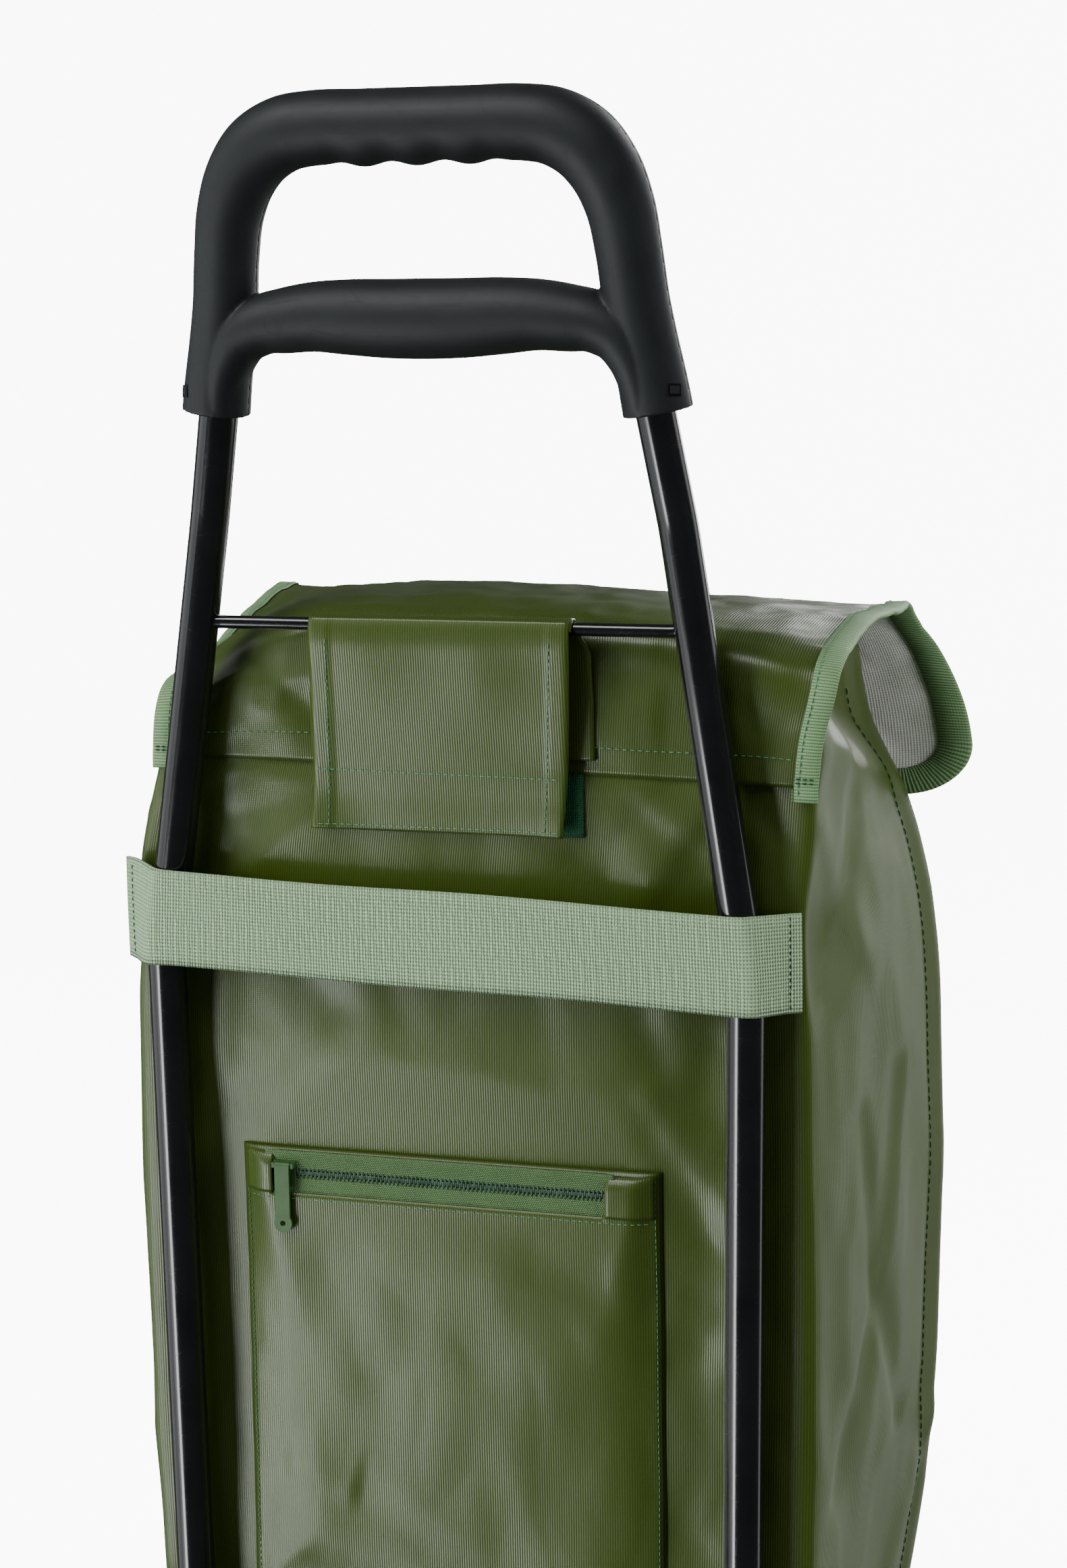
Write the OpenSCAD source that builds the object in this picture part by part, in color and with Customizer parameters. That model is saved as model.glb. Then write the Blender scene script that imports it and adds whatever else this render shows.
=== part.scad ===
// Two-wheeled shopping trolley: a leaning tube frame with a moulded handle and a hung canvas bag.
// X runs to the right as seen from behind, Y forward, Z up. The floor is Z = 0.

/* [Frame] */
// Outer diameter of the two side tubes
tube_d = 20; // [17:0.5:24]
// Wall of every steel tube
tube_wall = 1.2; // [1:0.1:1.6]
// Backward lean of the side tubes, in degrees
frame_lean = 3.1; // [1:0.1:6]
// Distance from the centre line to a side tube at the axle
tube_x_axle = 151; // [140:1:158]
// Distance from the centre line to a side tube at its lower bend
tube_x_bend = 157; // [146:1:164]
// Distance along the frame from the axle to the lower bend
lower_run = 443; // [430:1:540]
// Distance along the frame from the lower bend to the upper bend
middle_run = 221; // [200:1:270]
// Inward slope of the side tubes above the lower bend, in degrees
middle_slope = 8.4; // [6:0.1:9.5]
// Length of tube below the axle
tube_tail = 15; // [12:1:20]
// Radius of the tube bends on their centre line
bend_r = 120; // [80:5:200]
// Diameter of the rod that the bag hangs on
rod_d = 6.8; // [5:0.1:8]
// Drop of the hanging rod below the bag's mouth
rod_drop = 3.3; // [2:0.1:20]

/* [Handle] */
// Backward lean of the handle, in degrees
handle_lean = 8.5; // [4:0.1:14]
// Inward slope of the handle's uprights, in degrees
upright_slope = 9.5; // [7:0.1:12]
// Distance from the upper bend to the handle's sockets
socket_run = 57; // [40:1:80]
// Distance from the upper bend to the upper bar's centre
bar_run = 195; // [185:1:240]
// Distance from the upper bend to the lower grip's centre
grip_run = 102; // [98:1:112]
// Diameter of the upper bar
bar_d = 37; // [32:0.5:40]
// Diameter of the sockets at their lower end
socket_d = 34.6; // [30:0.2:40]
// Diameter of the lower grip at its middle
grip_d = 39; // [32:0.5:40]
// Diameter of the lower grip at its ends
grip_end_d = 31.5; // [28:0.5:32]
// Radius of the handle's corners on their centre line
corner_r = 43; // [36:1:50]
// Wall of the handle's moulded shells
shell_wall = 3; // [2:0.1:4]

/* [Wheels] */
// Outer diameter of the wheels
wheel_d = 150; // [125:1:180]
// Width of the wheels
wheel_w = 28; // [20:1:34]
// Height of the tyre's rubber above the rim
tyre_h = 13; // [9:0.5:18]
// Diameter of the axle
axle_d = 10; // [8:0.5:12]
// Gap between the bag's side and the wheel
wheel_gap = 9; // [6:1:20]

/* [Base] */
// Diameter of the base frame's tube
base_d = 16; // [14:0.5:20]
// Height of the base frame's tube above the axle
base_run = 17; // [16:1:40]
// Diameter of the wires across the base
wire_d = 5; // [4:0.5:6]
// Number of wires across the base
wire_count = 3; // [2:1:5]
// Diameter of the stand leg's tube
leg_d = 14; // [12:0.5:16]
// Distance from the centre line to the stand leg's uprights
leg_x = 85; // [60:1:110]

/* [Bag] */
// Width of the bag
bag_w = 365; // [345:1:440]
// Depth of the bag
bag_depth = 220; // [180:1:270]
// Height of the bag's back from the base to the mouth
bag_h = 590; // [490:1:596]
// Drop of the mouth from back to front
mouth_drop = 20; // [0:1:60]
// Thickness of the coated canvas
canvas_t = 1.2; // [0.8:0.1:1.6]
// Thickness of the stiff board in the bottom
board_t = 3; // [2:0.5:5]

/* [Flap] */
// Overhang of the lid flap past each side of the bag
flap_overhang = 9.5; // [6:0.5:14]
// Height of the flap's sewn rear part
flap_rear_h = 84; // [70:1:90]
// Gap between the mouth and the flap above it
flap_lift = 9; // [5:1:20]
// Length of the flap's front drop
flap_drop = 108; // [80:1:160]
// Width of the binding tape
binding_w = 12; // [8:1:16]
// Thickness of the bound edge
binding_t = 2.4; // [1.8:0.1:3.2]

/* [Hanging strap] */
// Width of the strap that hangs on the rod
hanger_w = 138; // [100:1:160]
// Length of the strap's loose leaf below the rod
hanger_drop = 106; // [96:1:110]
// Height of the hook and loop tapes
tape_h = 26; // [20:1:30]
// Thickness of each hook or loop tape
tape_t = 1.3; // [1:0.1:1.6]
// Width of the hook and loop closure on the bag's front
closure_w = 100; // [60:1:150]

/* [Webbing] */
// Width of the webbing strap across the back
webbing_w = 50; // [40:1:60]
// Gap from the flap's seam down to the webbing
webbing_gap = 62.3; // [30:0.1:80]
// Thickness of the webbing
webbing_t = 1.6; // [1.2:0.1:2]

/* [Pocket] */
// Width of the back pocket
pocket_w = 231; // [190:1:240]
// Sideways offset of the pocket's centre
pocket_offset = -6.5; // [-10:0.5:10]
// Share of the height from the bag's floor to the pocket's top edge that the pocket takes
pocket_share = 0.807; // [0.65:0.001:0.9]
// Gap from the webbing down to the pocket's top edge
pocket_gap = 94; // [20:1:120]
// Depth of the pocket
pocket_depth = 8; // [7.6:0.1:9]
// Height of the zip's window
zip_h = 22; // [18:1:26]
// Width of the fabric tab at the zip's left end
left_tab_w = 19; // [14:1:30]
// Width of the fabric tab at the zip's right end
right_tab_w = 28; // [14:1:34]
// Width of the zip's slider
slider_w = 12; // [10:0.5:13]
// Height of the zip's slider
slider_h = 13; // [11:0.5:14]
// Length of the zip's pull
pull_l = 36; // [25:1:45]

/* [Hidden] */
$fn = 64;

steel = [0.06, 0.06, 0.065];
plastic = [0.12, 0.12, 0.125];
canvas = [0.28, 0.38, 0.14];
webbing_green = [0.45, 0.63, 0.42];
zip_green = [0.2, 0.42, 0.2];

// Clearances
bend_lap = 0.3;
bend_swell = 0.1;
shaft_gap = 0.05;
fit_gap = 0.3;
sewn_gap = 0.4;

// Frame
tube_r = tube_d / 2;
wheel_r = wheel_d / 2;
upper_run = lower_run + middle_run;
tube_x_top = tube_x_bend - middle_run * tan(middle_slope);
tube_top = bar_run - corner_r;
lower_spread = (tube_x_bend - tube_x_axle) / lower_run;

// Bag, in the leaning frame: y forward from the side tubes, z along them from the axle
bag_back = tube_r + 2;
bag_front = bag_back + bag_depth;
bag_floor = base_run + base_d / 2 + fit_gap;
bag_mouth = bag_floor + bag_h;
bag_x = bag_w / 2;

// Base
base_front = bag_front + 3 - base_d / 2;
base_bend = 30;
glide_l = 30;
glide_h = leg_d + 12;
leg_z = glide_h / 2;

// Wheels and axle, as distances from the centre line
washer_t = 1.5;
wheel_mid = bag_x + wheel_gap + wheel_w / 2;
hub_w = wheel_w + 2;
spacer_start = tube_x_axle + tube_r + 0.5;
washer_in = wheel_mid - hub_w / 2 - fit_gap - washer_t;
washer_out = wheel_mid + hub_w / 2 + fit_gap;
cap_start = washer_out + washer_t;
cap_l = 9;
axle_end = cap_start + cap_l - 2.5;
boss_r = axle_d / 2 + 8;
rim_r = wheel_r - tyre_h;

// Flap, in the leaning frame
flap_y = bag_back - sewn_gap - canvas_t;
ridge_z = bag_mouth + flap_lift;
seam_z = ridge_z - flap_rear_h;
webbing_mid = seam_z - webbing_gap - webbing_w / 2;
fold_y = bag_back + 2;
fold_swell = 0.05;
flap_front = bag_front + 2 * tape_t + 3 * fit_gap;
flap_front_z = ridge_z - mouth_drop;
flap_hem_z = flap_front_z - flap_drop;
leaf_x = bag_x + flap_overhang - binding_w;

// Hanging strap
rod_run = bag_mouth - rod_drop;
loop_r = rod_d / 2 + fit_gap;
hook_z = rod_run - hanger_drop;
loop_tape_y = bag_back - tape_t;
hook_tape_y = loop_tape_y - fit_gap - tape_t;
leaf_y = hook_tape_y - canvas_t;

// Pocket and zip
pocket_top_run = webbing_mid - webbing_w / 2 - pocket_gap;
pocket_y = bag_back - pocket_depth;
pocket_left = pocket_offset - pocket_w / 2;
pocket_right = pocket_offset + pocket_w / 2;
pocket_bottom = pocket_top_run - pocket_share * (pocket_top_run - bag_floor);
zip_left = pocket_left + left_tab_w;
zip_right = pocket_right - right_tab_w;
zip_top = pocket_top_run - 2;
zip_mid = zip_top - zip_h / 2;
teeth_y = pocket_y + 2;
teeth_t = 2.4;
teeth_h = 2.2;
teeth_split = 0.8;
zip_tape_t = 0.8;
slider_x = zip_left + 1 + slider_w / 2;
slider_plate_t = 1.2;
slider_face = teeth_y - fit_gap - slider_plate_t;
slider_back = teeth_y + teeth_t + fit_gap;
bail_r = 0.9;
bail_y = slider_face - 2.2;
bail_z = zip_mid + slider_h / 2 - 2;
pull_t = 1.4;

// The rearmost point of the handle and the foremost point of the base set the middle of the depth
bar_back = bar_y(bar_run) - bar_d / 2;
base_nose = lean_y(base_front, base_run) + glide_h / 2;
y_shift = -(bar_back + base_nose) / 2;

function lean_y(y, z) = y * cos(frame_lean) - z * sin(frame_lean);
function lean_z(y, z) = wheel_r + y * sin(frame_lean) + z * cos(frame_lean);
function lean_point(x, y, z) = [x, lean_y(y, z), lean_z(y, z)];
function bar_y(v) = lean_y(0, upper_run) - v * sin(handle_lean);
function upright_x(v) = tube_x_top - v * tan(upright_slope);
function unit(v) = v / norm(v);
function left_of(v) = unit(abs(v[0]) < 0.9 * norm(v) ? cross(v, [1, 0, 0]) : cross(v, [0, 1, 0]));
function tube_points(side) = [
    lean_point(side * (tube_x_axle - tube_tail * lower_spread), 0, -tube_tail),
    lean_point(side * tube_x_bend, 0, lower_run),
    lean_point(side * tube_x_top, 0, upper_run),
    lean_point(side * tube_x_top, 0, upper_run)
        + tube_top * [-side * tan(upright_slope), -sin(handle_lean), cos(handle_lean)]
];

// A polyline given thickness t to its left
function strip_normal(p, i) =
    let (a = i == 0 ? unit(p[1] - p[0]) : unit(p[i] - p[i - 1]))
    let (b = i == len(p) - 1 ? a : unit(p[i + 1] - p[i]))
    let (m = unit(a + b))
    [-m[1], m[0]] / (m * a);
function strip(p, t) = concat(p, [for (i = [len(p) - 1:-1:0]) p[i] + t * strip_normal(p, i)]);

// Placing helpers
module placed() translate([0, y_shift, 0]) children();
module leaning() placed() translate([0, 0, wheel_r]) rotate([frame_lean, 0, 0]) children();
module on_handle() placed() translate([0, bar_y(0), lean_z(0, upper_run)])
    rotate([handle_lean, 0, 0]) children();
module both_sides() for (side = [-1, 1]) scale_side(side) children();
module scale_side(side) mirror([side < 0 ? 1 : 0, 0, 0]) children();
module along_x(x) translate([x, 0, 0]) rotate([0, 90, 0]) children();
module block(low, high) translate(low) cube(high - low);

// A profile drawn in the (y, z) plane and extruded along X from x0 to x1
module across(x0, x1) translate([x0, 0, 0]) rotate([90, 0, 90]) linear_extrude(x1 - x0) children();

// A round bar through points, with a bend of radius bend at each inner one
function bend_angle(p, i) = acos(unit(p[i] - p[i - 1]) * unit(p[i + 1] - p[i]));
function bend_trim(p, i, bend) = i == 0 || i == len(p) - 1 ? 0 : bend * tan(bend_angle(p, i) / 2);

module straight(a, b, r) {
    d = unit(b - a);
    u = left_of(d);
    w = cross(d, u);
    multmatrix([[u[0], w[0], d[0], a[0]], [u[1], w[1], d[1], a[1]], [u[2], w[2], d[2], a[2]]])
        cylinder(r = r, h = norm(b - a));
}

// A bend laps the straights beside it and is a hair fatter than they are
module lapped_arc(bend, r, angle) {
    lap = atan(bend_lap / bend);
    rotate(-lap) rotate_extrude(angle = angle + 2 * lap, $fn = 180)
        translate([bend, 0]) circle(r + bend_swell, $fn = 64);
}

module elbow(p, i, r, bend) {
    a = unit(p[i] - p[i - 1]);
    b = unit(p[i + 1] - p[i]);
    n = unit(b - (a * b) * a);
    x = -n;
    z = cross(x, a);
    c = p[i] - bend_trim(p, i, bend) * a + bend * n;
    multmatrix([[x[0], a[0], z[0], c[0]], [x[1], a[1], z[1], c[1]], [x[2], a[2], z[2], c[2]]])
        lapped_arc(bend, r, bend_angle(p, i));
}

module bent_bar(p, r, bend) {
    for (i = [0:len(p) - 2]) {
        d = unit(p[i + 1] - p[i]);
        straight(p[i] + bend_trim(p, i, bend) * d, p[i + 1] - bend_trim(p, i + 1, bend) * d, r);
    }
    for (i = [1:1:len(p) - 2]) elbow(p, i, r, bend);
}

function stretched(p, extra) = [
    for (i = [0:len(p) - 1])
        i == 0 ? p[0] - extra * unit(p[1] - p[0])
        : i == len(p) - 1 ? p[i] + extra * unit(p[i] - p[i - 1])
        : p[i]
];

module bent_tube(p, d, bend) difference() {
    bent_bar(p, d / 2, bend);
    bent_bar(stretched(p, 1), d / 2 - tube_wall, bend);
}

// Steel frame
module axle_hole() placed() translate([0, 0, wheel_r])
    along_x(-tube_x_bend - tube_d) cylinder(r = axle_d / 2 + shaft_gap, h = 2 * (tube_x_bend + tube_d));

module side_tube(side) color(steel) difference() {
    placed() bent_tube(tube_points(side), tube_d, bend_r);
    axle_hole();
}

module left_side_tube() side_tube(-1);
module right_side_tube() side_tube(1);

module side_tube_room() placed() for (side = [-1, 1]) bent_bar(tube_points(side), tube_r, bend_r);

// Room for the straight part of the side tubes between their two bends
module middle_tube_room() leaning() both_sides() translate([tube_x_bend, 0, lower_run])
    rotate([0, -middle_slope, 0]) cylinder(r = tube_r, h = middle_run / cos(middle_slope));

module hanger_rod() color(steel) difference() {
    leaning() {
        translate([0, 0, rod_run]) along_x(-tube_x_bend) cylinder(d = rod_d, h = 2 * tube_x_bend);
        both_sides() translate([0, 0, rod_run]) along_x(rod_bead_x)
            cylinder(d1 = rod_d, d2 = rod_d + 3, h = tube_x_bend - rod_bead_x);
    }
    middle_tube_room();
    leaning() both_sides() block([tube_x_at(rod_run), -20, rod_run - 20], [200, 20, rod_run + 20]);
}
function tube_x_at(z) = tube_x_bend - (z - lower_run) * tan(middle_slope);
rod_bead_x = tube_x_at(rod_run) - tube_r - 3;

module lower_crossbar() color(steel) difference() {
    leaning() translate([0, 0, base_run]) along_x(-tube_x_axle) difference() {
        cylinder(d = base_d, h = 2 * tube_x_axle);
        translate([0, 0, -1]) cylinder(d = base_d - 2 * tube_wall, h = 2 * tube_x_axle + 2);
    }
    side_tube_room();
}

function base_points() = [
    [-tube_x_axle, 0, base_run], [-tube_x_axle, base_front, base_run],
    [tube_x_axle, base_front, base_run], [tube_x_axle, 0, base_run]
];

module crossbar_room() leaning() translate([0, 0, base_run]) along_x(-tube_x_bend - tube_d)
    cylinder(d = base_d, h = 2 * (tube_x_bend + tube_d));

module base_frame() color(steel) difference() {
    leaning() bent_tube(base_points(), base_d, base_bend);
    side_tube_room();
    crossbar_room();
    leaning() block([-200, -30, base_run - 15], [200, 0.5, base_run + 15]);
}

module base_wires() color(steel) difference() {
    leaning() for (i = [1:wire_count])
        translate([0, i * base_front / (wire_count + 1), base_run + (base_d - wire_d) / 2])
            along_x(-tube_x_axle) cylinder(d = wire_d, h = 2 * tube_x_axle);
    leaning() bent_bar(base_points(), base_d / 2, base_bend);
    leaning() both_sides() block([tube_x_axle, 0, base_run], [200, bag_front, base_run + 20]);
}

leg_y = lean_y(base_front, base_run);
leg_top = lean_z(base_front, base_run);
module stand_leg() color(steel) difference() {
    placed() bent_tube([
        [-leg_x, leg_y, leg_top], [-leg_x, leg_y, leg_z], [leg_x, leg_y, leg_z], [leg_x, leg_y, leg_top]
    ], leg_d, 25);
    leaning() bent_bar(base_points(), base_d / 2, base_bend);
}

module stand_glides() color(plastic) placed() both_sides()
    translate([leg_x - 25 - glide_l - 2, leg_y, 0]) difference() {
        block([0, -glide_h / 2, 0], [glide_l, glide_h / 2, glide_h]);
        translate([-1, 0, leg_z]) rotate([0, 90, 0]) cylinder(d = leg_d + 2 * shaft_gap, h = glide_l + 2);
    }

module tube_plugs() color(plastic) placed() both_sides() {
    low = tube_points(1)[0];
    up = unit(tube_points(1)[1] - low);
    straight(low - 2.5 * up, low - shaft_gap * up, tube_r);
    straight(low - 0.5 * up, low + 7 * up, tube_r - tube_wall - shaft_gap);
}

// Axle and wheels
module axle() color("silver") placed() translate([0, 0, wheel_r])
    along_x(-axle_end) cylinder(d = axle_d, h = 2 * axle_end);

module axle_ring(x0, x1, d) placed() translate([0, 0, wheel_r]) both_sides() along_x(x0) difference() {
    cylinder(d = d, h = x1 - x0);
    translate([0, 0, -1]) cylinder(r = axle_d / 2 + shaft_gap, h = x1 - x0 + 2);
}

module axle_spacers() color(plastic) axle_ring(spacer_start, washer_in, axle_d + 8);

module axle_washers() color("silver") {
    axle_ring(washer_in, washer_in + washer_t, axle_d + 12);
    axle_ring(washer_out, cap_start, axle_d + 12);
}

module axle_caps() color(plastic) placed() translate([0, 0, wheel_r]) both_sides() along_x(cap_start)
    difference() {
        union() {
            cylinder(d = axle_d + 10, h = cap_l - 3);
            translate([0, 0, cap_l - 3]) cylinder(d1 = axle_d + 10, d2 = axle_d + 2, h = 3);
        }
        translate([0, 0, -1]) cylinder(r = axle_d / 2 + shaft_gap, h = axle_end - cap_start + 1.1);
    }

hub_holes = 6;
hub_rim_t = 5;
hub_pitch_r = (boss_r + rim_r - hub_rim_t) / 2;
module at_wheel(side) placed() translate([0, 0, wheel_r]) along_x(side * wheel_mid) children();

module wheel_hub(side) color([0.2, 0.2, 0.21]) at_wheel(side) difference() {
    union() {
        cylinder(r = boss_r, h = hub_w, center = true);
        cylinder(r = rim_r, h = 5, center = true);
        difference() {
            cylinder(r = rim_r, h = wheel_w - 4, center = true);
            cylinder(r = rim_r - hub_rim_t, h = wheel_w, center = true);
        }
    }
    cylinder(r = axle_d / 2 + shaft_gap, h = hub_w + 2, center = true);
    for (i = [1:hub_holes]) rotate(i * 360 / hub_holes) translate([hub_pitch_r, 0, 0])
        cylinder(r = hub_pitch_r * sin(180 / hub_holes) - 3, h = wheel_w, center = true);
}

module left_wheel_hub() wheel_hub(-1);
module right_wheel_hub() wheel_hub(1);

module tyre(side) color([0.1, 0.1, 0.1]) at_wheel(side) rotate_extrude($fn = 120) intersection() {
    translate([rim_r, -wheel_w / 2]) square([tyre_h, wheel_w]);
    translate([wheel_r - 24, 0]) circle(24);
}

module left_tyre() tyre(-1);
module right_tyre() tyre(1);

// Moulded handle
corner_end = bar_run - corner_r + corner_r * sin(upright_slope);
corner_x = upright_x(corner_end) - corner_r * cos(upright_slope);
grip_bend = 26;
grip_low = grip_run - grip_bend;
grip_half = upright_x(grip_low) - grip_bend + 4;

module handle_corner(r) translate([corner_x, 0, bar_run - corner_r]) rotate([90, 0, 0]) mirror([0, 0, 1])
    rotate([0, 0, upright_slope]) lapped_arc(corner_r, r, 90 - upright_slope);

module handle_upright(r_low, r_high) translate([upright_x(socket_run), 0, socket_run])
    rotate([0, -upright_slope, 0])
        cylinder(r1 = r_low, r2 = r_high, h = (corner_end - socket_run) / cos(upright_slope));

module grip_barrel(inset, half) rotate([0, 90, 0]) both_ends()
    cylinder(r1 = grip_d / 2 - inset, r2 = grip_end_d / 2 - inset, h = half);

module both_ends() {
    children();
    mirror([0, 0, 1]) children();
}

module grip_elbow(r) translate([grip_half - 0.5, 0, grip_run - grip_bend]) rotate([90, 0, 0])
    mirror([0, 0, 1]) rotate_extrude(angle = 90, $fn = 180) translate([grip_bend, 0]) circle(r, $fn = 64);

module handle_form() {
    translate([0, 0, bar_run]) along_x(-corner_x) cylinder(d = bar_d, h = 2 * corner_x);
    translate([0, 0, grip_run]) grip_barrel(0, grip_half);
    both_sides() {
        handle_corner(bar_d / 2);
        handle_upright(socket_d / 2, bar_d / 2);
        grip_elbow(grip_end_d / 2 - 1);
    }
}

module tube_socket() both_sides() {
    low = [upright_x(socket_run - 5), 0, socket_run - 5];
    high = [upright_x(tube_top + 0.5), 0, tube_top + 0.5];
    straight(low, high, tube_r + shaft_gap);
}

module handle_hollow() {
    translate([0, 0, bar_run]) along_x(-corner_x) cylinder(r = bar_d / 2 - shell_wall, h = 2 * corner_x);
    translate([0, 0, grip_run]) grip_barrel(shell_wall, grip_half - 8);
    tube_socket();
}

latch_v = socket_run + 12;
latch_reach = socket_d / 2 - tube_r - 0.7;
module latch_block(w, h, reach) both_sides() translate([upright_x(latch_v), 0, latch_v])
    rotate([0, -upright_slope, 0]) rotate([0, 0, -45])
        translate([tube_r + 1, -w / 2, -h / 2]) cube([reach, w, h]);

module handle_shell(rear) color(plastic) on_handle() difference() {
    intersection() {
        handle_form();
        block([-200, rear ? -60 : 0, 0], [200, rear ? 0 : 60, bar_run + 60]);
    }
    handle_hollow();
    latch_block(7, 6, 20);
}

module handle_rear_shell() handle_shell(true);
module handle_front_shell() handle_shell(false);

module snap_latches() color(plastic) on_handle() latch_block(6, 5, latch_reach);

// Bag
module bag_back_panel() color(canvas) leaning()
    block([-bag_x, bag_back, bag_floor + canvas_t], [bag_x, bag_back + canvas_t, bag_mouth]);

module bag_front_panel() color(canvas) leaning() block([-bag_x, bag_front - canvas_t, bag_floor + canvas_t],
    [bag_x, bag_front, bag_mouth - mouth_drop]);

module bag_side(x0) color(canvas) leaning() across(x0, x0 + canvas_t) polygon([
    [bag_back + canvas_t, bag_floor + canvas_t],
    [bag_front - canvas_t, bag_floor + canvas_t],
    [bag_front - canvas_t, bag_mouth - mouth_drop],
    [bag_back + canvas_t, bag_mouth]
]);

module bag_left_side() bag_side(-bag_x);
module bag_right_side() bag_side(bag_x - canvas_t);

module bag_bottom_panel() color(canvas) leaning()
    block([-bag_x, bag_back, bag_floor], [bag_x, bag_front, bag_floor + canvas_t]);

module bottom_board() color("dimgray") leaning() block(
    [-bag_x + 6, bag_back + 4, bag_floor + canvas_t],
    [bag_x - 6, bag_front - 4, bag_floor + canvas_t + board_t]);

closure_z = flap_hem_z + binding_w + 8;
module front_loop_tape() color(zip_green) leaning()
    block([-closure_w / 2, bag_front, closure_z], [closure_w / 2, bag_front + tape_t, closure_z + tape_h]);

// Flap: the rear leaf is sewn to the bag's back, and the lid leaf folds at the ridge above it
module flap_rear_leaf() color(canvas) leaning()
    block([-leaf_x, flap_y, seam_z], [leaf_x, flap_y + canvas_t, ridge_z - 3]);

module rear_binding() color(webbing_green) leaning() both_sides() block(
    [leaf_x, flap_y + canvas_t - binding_t, seam_z], [leaf_x + binding_w, flap_y + canvas_t, ridge_z - 3]);

function lid_path() = [
    [fold_y, ridge_z], [flap_front, flap_front_z], [flap_front, flap_hem_z + binding_w]
];

module flap_lid_leaf() color(canvas) leaning() across(-leaf_x, leaf_x) {
    polygon(strip(lid_path(), canvas_t));
    translate([fold_y, ridge_z + canvas_t / 2]) circle(canvas_t / 2 + fold_swell, $fn = 24);
}

module lid_binding() color(webbing_green) leaning() {
    both_sides() across(leaf_x, leaf_x + binding_w) polygon(strip(lid_path(), binding_t));
    block([-leaf_x - binding_w, flap_front, flap_hem_z],
        [leaf_x + binding_w, flap_front + binding_t, flap_hem_z + binding_w]);
}

module lid_hook_tape() color(zip_green) leaning() block(
    [-closure_w / 2, flap_front - tape_t, closure_z], [closure_w / 2, flap_front, closure_z + tape_h]);

// Hanging strap: the outer leaf wraps over the rod and sticks to the back panel
function hanger_path() = concat(
    [for (a = [0:15:180]) [loop_r * cos(a), rod_run + loop_r * sin(a)]],
    [[-loop_r, rod_run - 2], [leaf_y + canvas_t, hook_z + tape_h + 6], [leaf_y + canvas_t, hook_z]]
);

module hanger_outer_leaf() color(canvas) leaning() across(-hanger_w / 2, hanger_w / 2)
    polygon(strip(hanger_path(), -canvas_t));

module hanger_hook_tape() color(zip_green) leaning() block(
    [-hanger_w / 2, hook_tape_y, hook_z + 4], [hanger_w / 2, hook_tape_y + tape_t, hook_z + 4 + tape_h]);

module hanger_loop_tape() color(zip_green) leaning() block(
    [-hanger_w / 2 + 4, loop_tape_y, hook_z], [hanger_w / 2 + 4, bag_back, hook_z + tape_h + 4]);

module hanger_inner_leaf() color(canvas) leaning() across(-hanger_w / 2, hanger_w / 2)
    polygon(strip([
        [loop_r + canvas_t + fit_gap, rod_run + 2], [flap_y - fit_gap - canvas_t, rod_run - 36],
        [flap_y - fit_gap - canvas_t, seam_z + 2]
    ], canvas_t));

// Webbing that holds the bag against the side tubes
strap_tube_x = webbing_mid < lower_run ? tube_x_axle + lower_spread * webbing_mid : tube_x_bend;
strap_r = tube_r + fit_gap + lower_spread * webbing_w / 2;
function strap_half() = concat(
    [for (a = [-90:30:0]) [strap_tube_x + strap_r * cos(a), strap_r * sin(a)]],
    [[strap_tube_x + strap_r + 2, bag_back], [bag_x - 1, bag_back]]
);
function strap_path() = concat(
    [for (i = [len(strap_half()) - 1:-1:0]) [-strap_half()[i][0], strap_half()[i][1]]], strap_half());

module webbing_strap() color(webbing_green) leaning() translate([0, 0, webbing_mid - webbing_w / 2])
    linear_extrude(webbing_w) polygon(strip(strap_path(), -webbing_t));

// Pocket and zip
module pocket_panel() color(canvas) leaning() difference() {
    block([pocket_left, pocket_y, pocket_bottom], [pocket_right, bag_back, pocket_top_run]);
    block([pocket_left + canvas_t, pocket_y + canvas_t, pocket_bottom + canvas_t],
        [pocket_right - canvas_t, bag_back + 1, pocket_top_run - canvas_t]);
    block([zip_left, pocket_y - 1, zip_top - zip_h], [zip_right, pocket_y + 2, zip_top]);
}

module zip_tab(x0, x1) color(canvas) leaning()
    block([x0, pocket_y - 0.8, zip_top - zip_h], [x1, pocket_y, zip_top]);

module zip_left_tab() zip_tab(pocket_left + 5, zip_left);
module zip_right_tab() zip_tab(zip_right, pocket_right - 4);

module zip_tape(low, high) color(zip_green) leaning() block(
    [zip_left - 4, teeth_y + (teeth_t - zip_tape_t) / 2, low],
    [zip_right + 4, teeth_y + (teeth_t + zip_tape_t) / 2, high]);

module zip_upper_tape() zip_tape(zip_mid + teeth_split + teeth_h, zip_top + 0.6);
module zip_lower_tape() zip_tape(zip_top - zip_h - 0.6, zip_mid - teeth_split - teeth_h);

module zip_teeth(low) color(zip_green) leaning() block(
    [zip_left + 1, teeth_y, low], [zip_right, teeth_y + teeth_t, low + teeth_h]);

module zip_upper_teeth() zip_teeth(zip_mid + teeth_split);
module zip_lower_teeth() zip_teeth(zip_mid - teeth_split - teeth_h);

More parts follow.
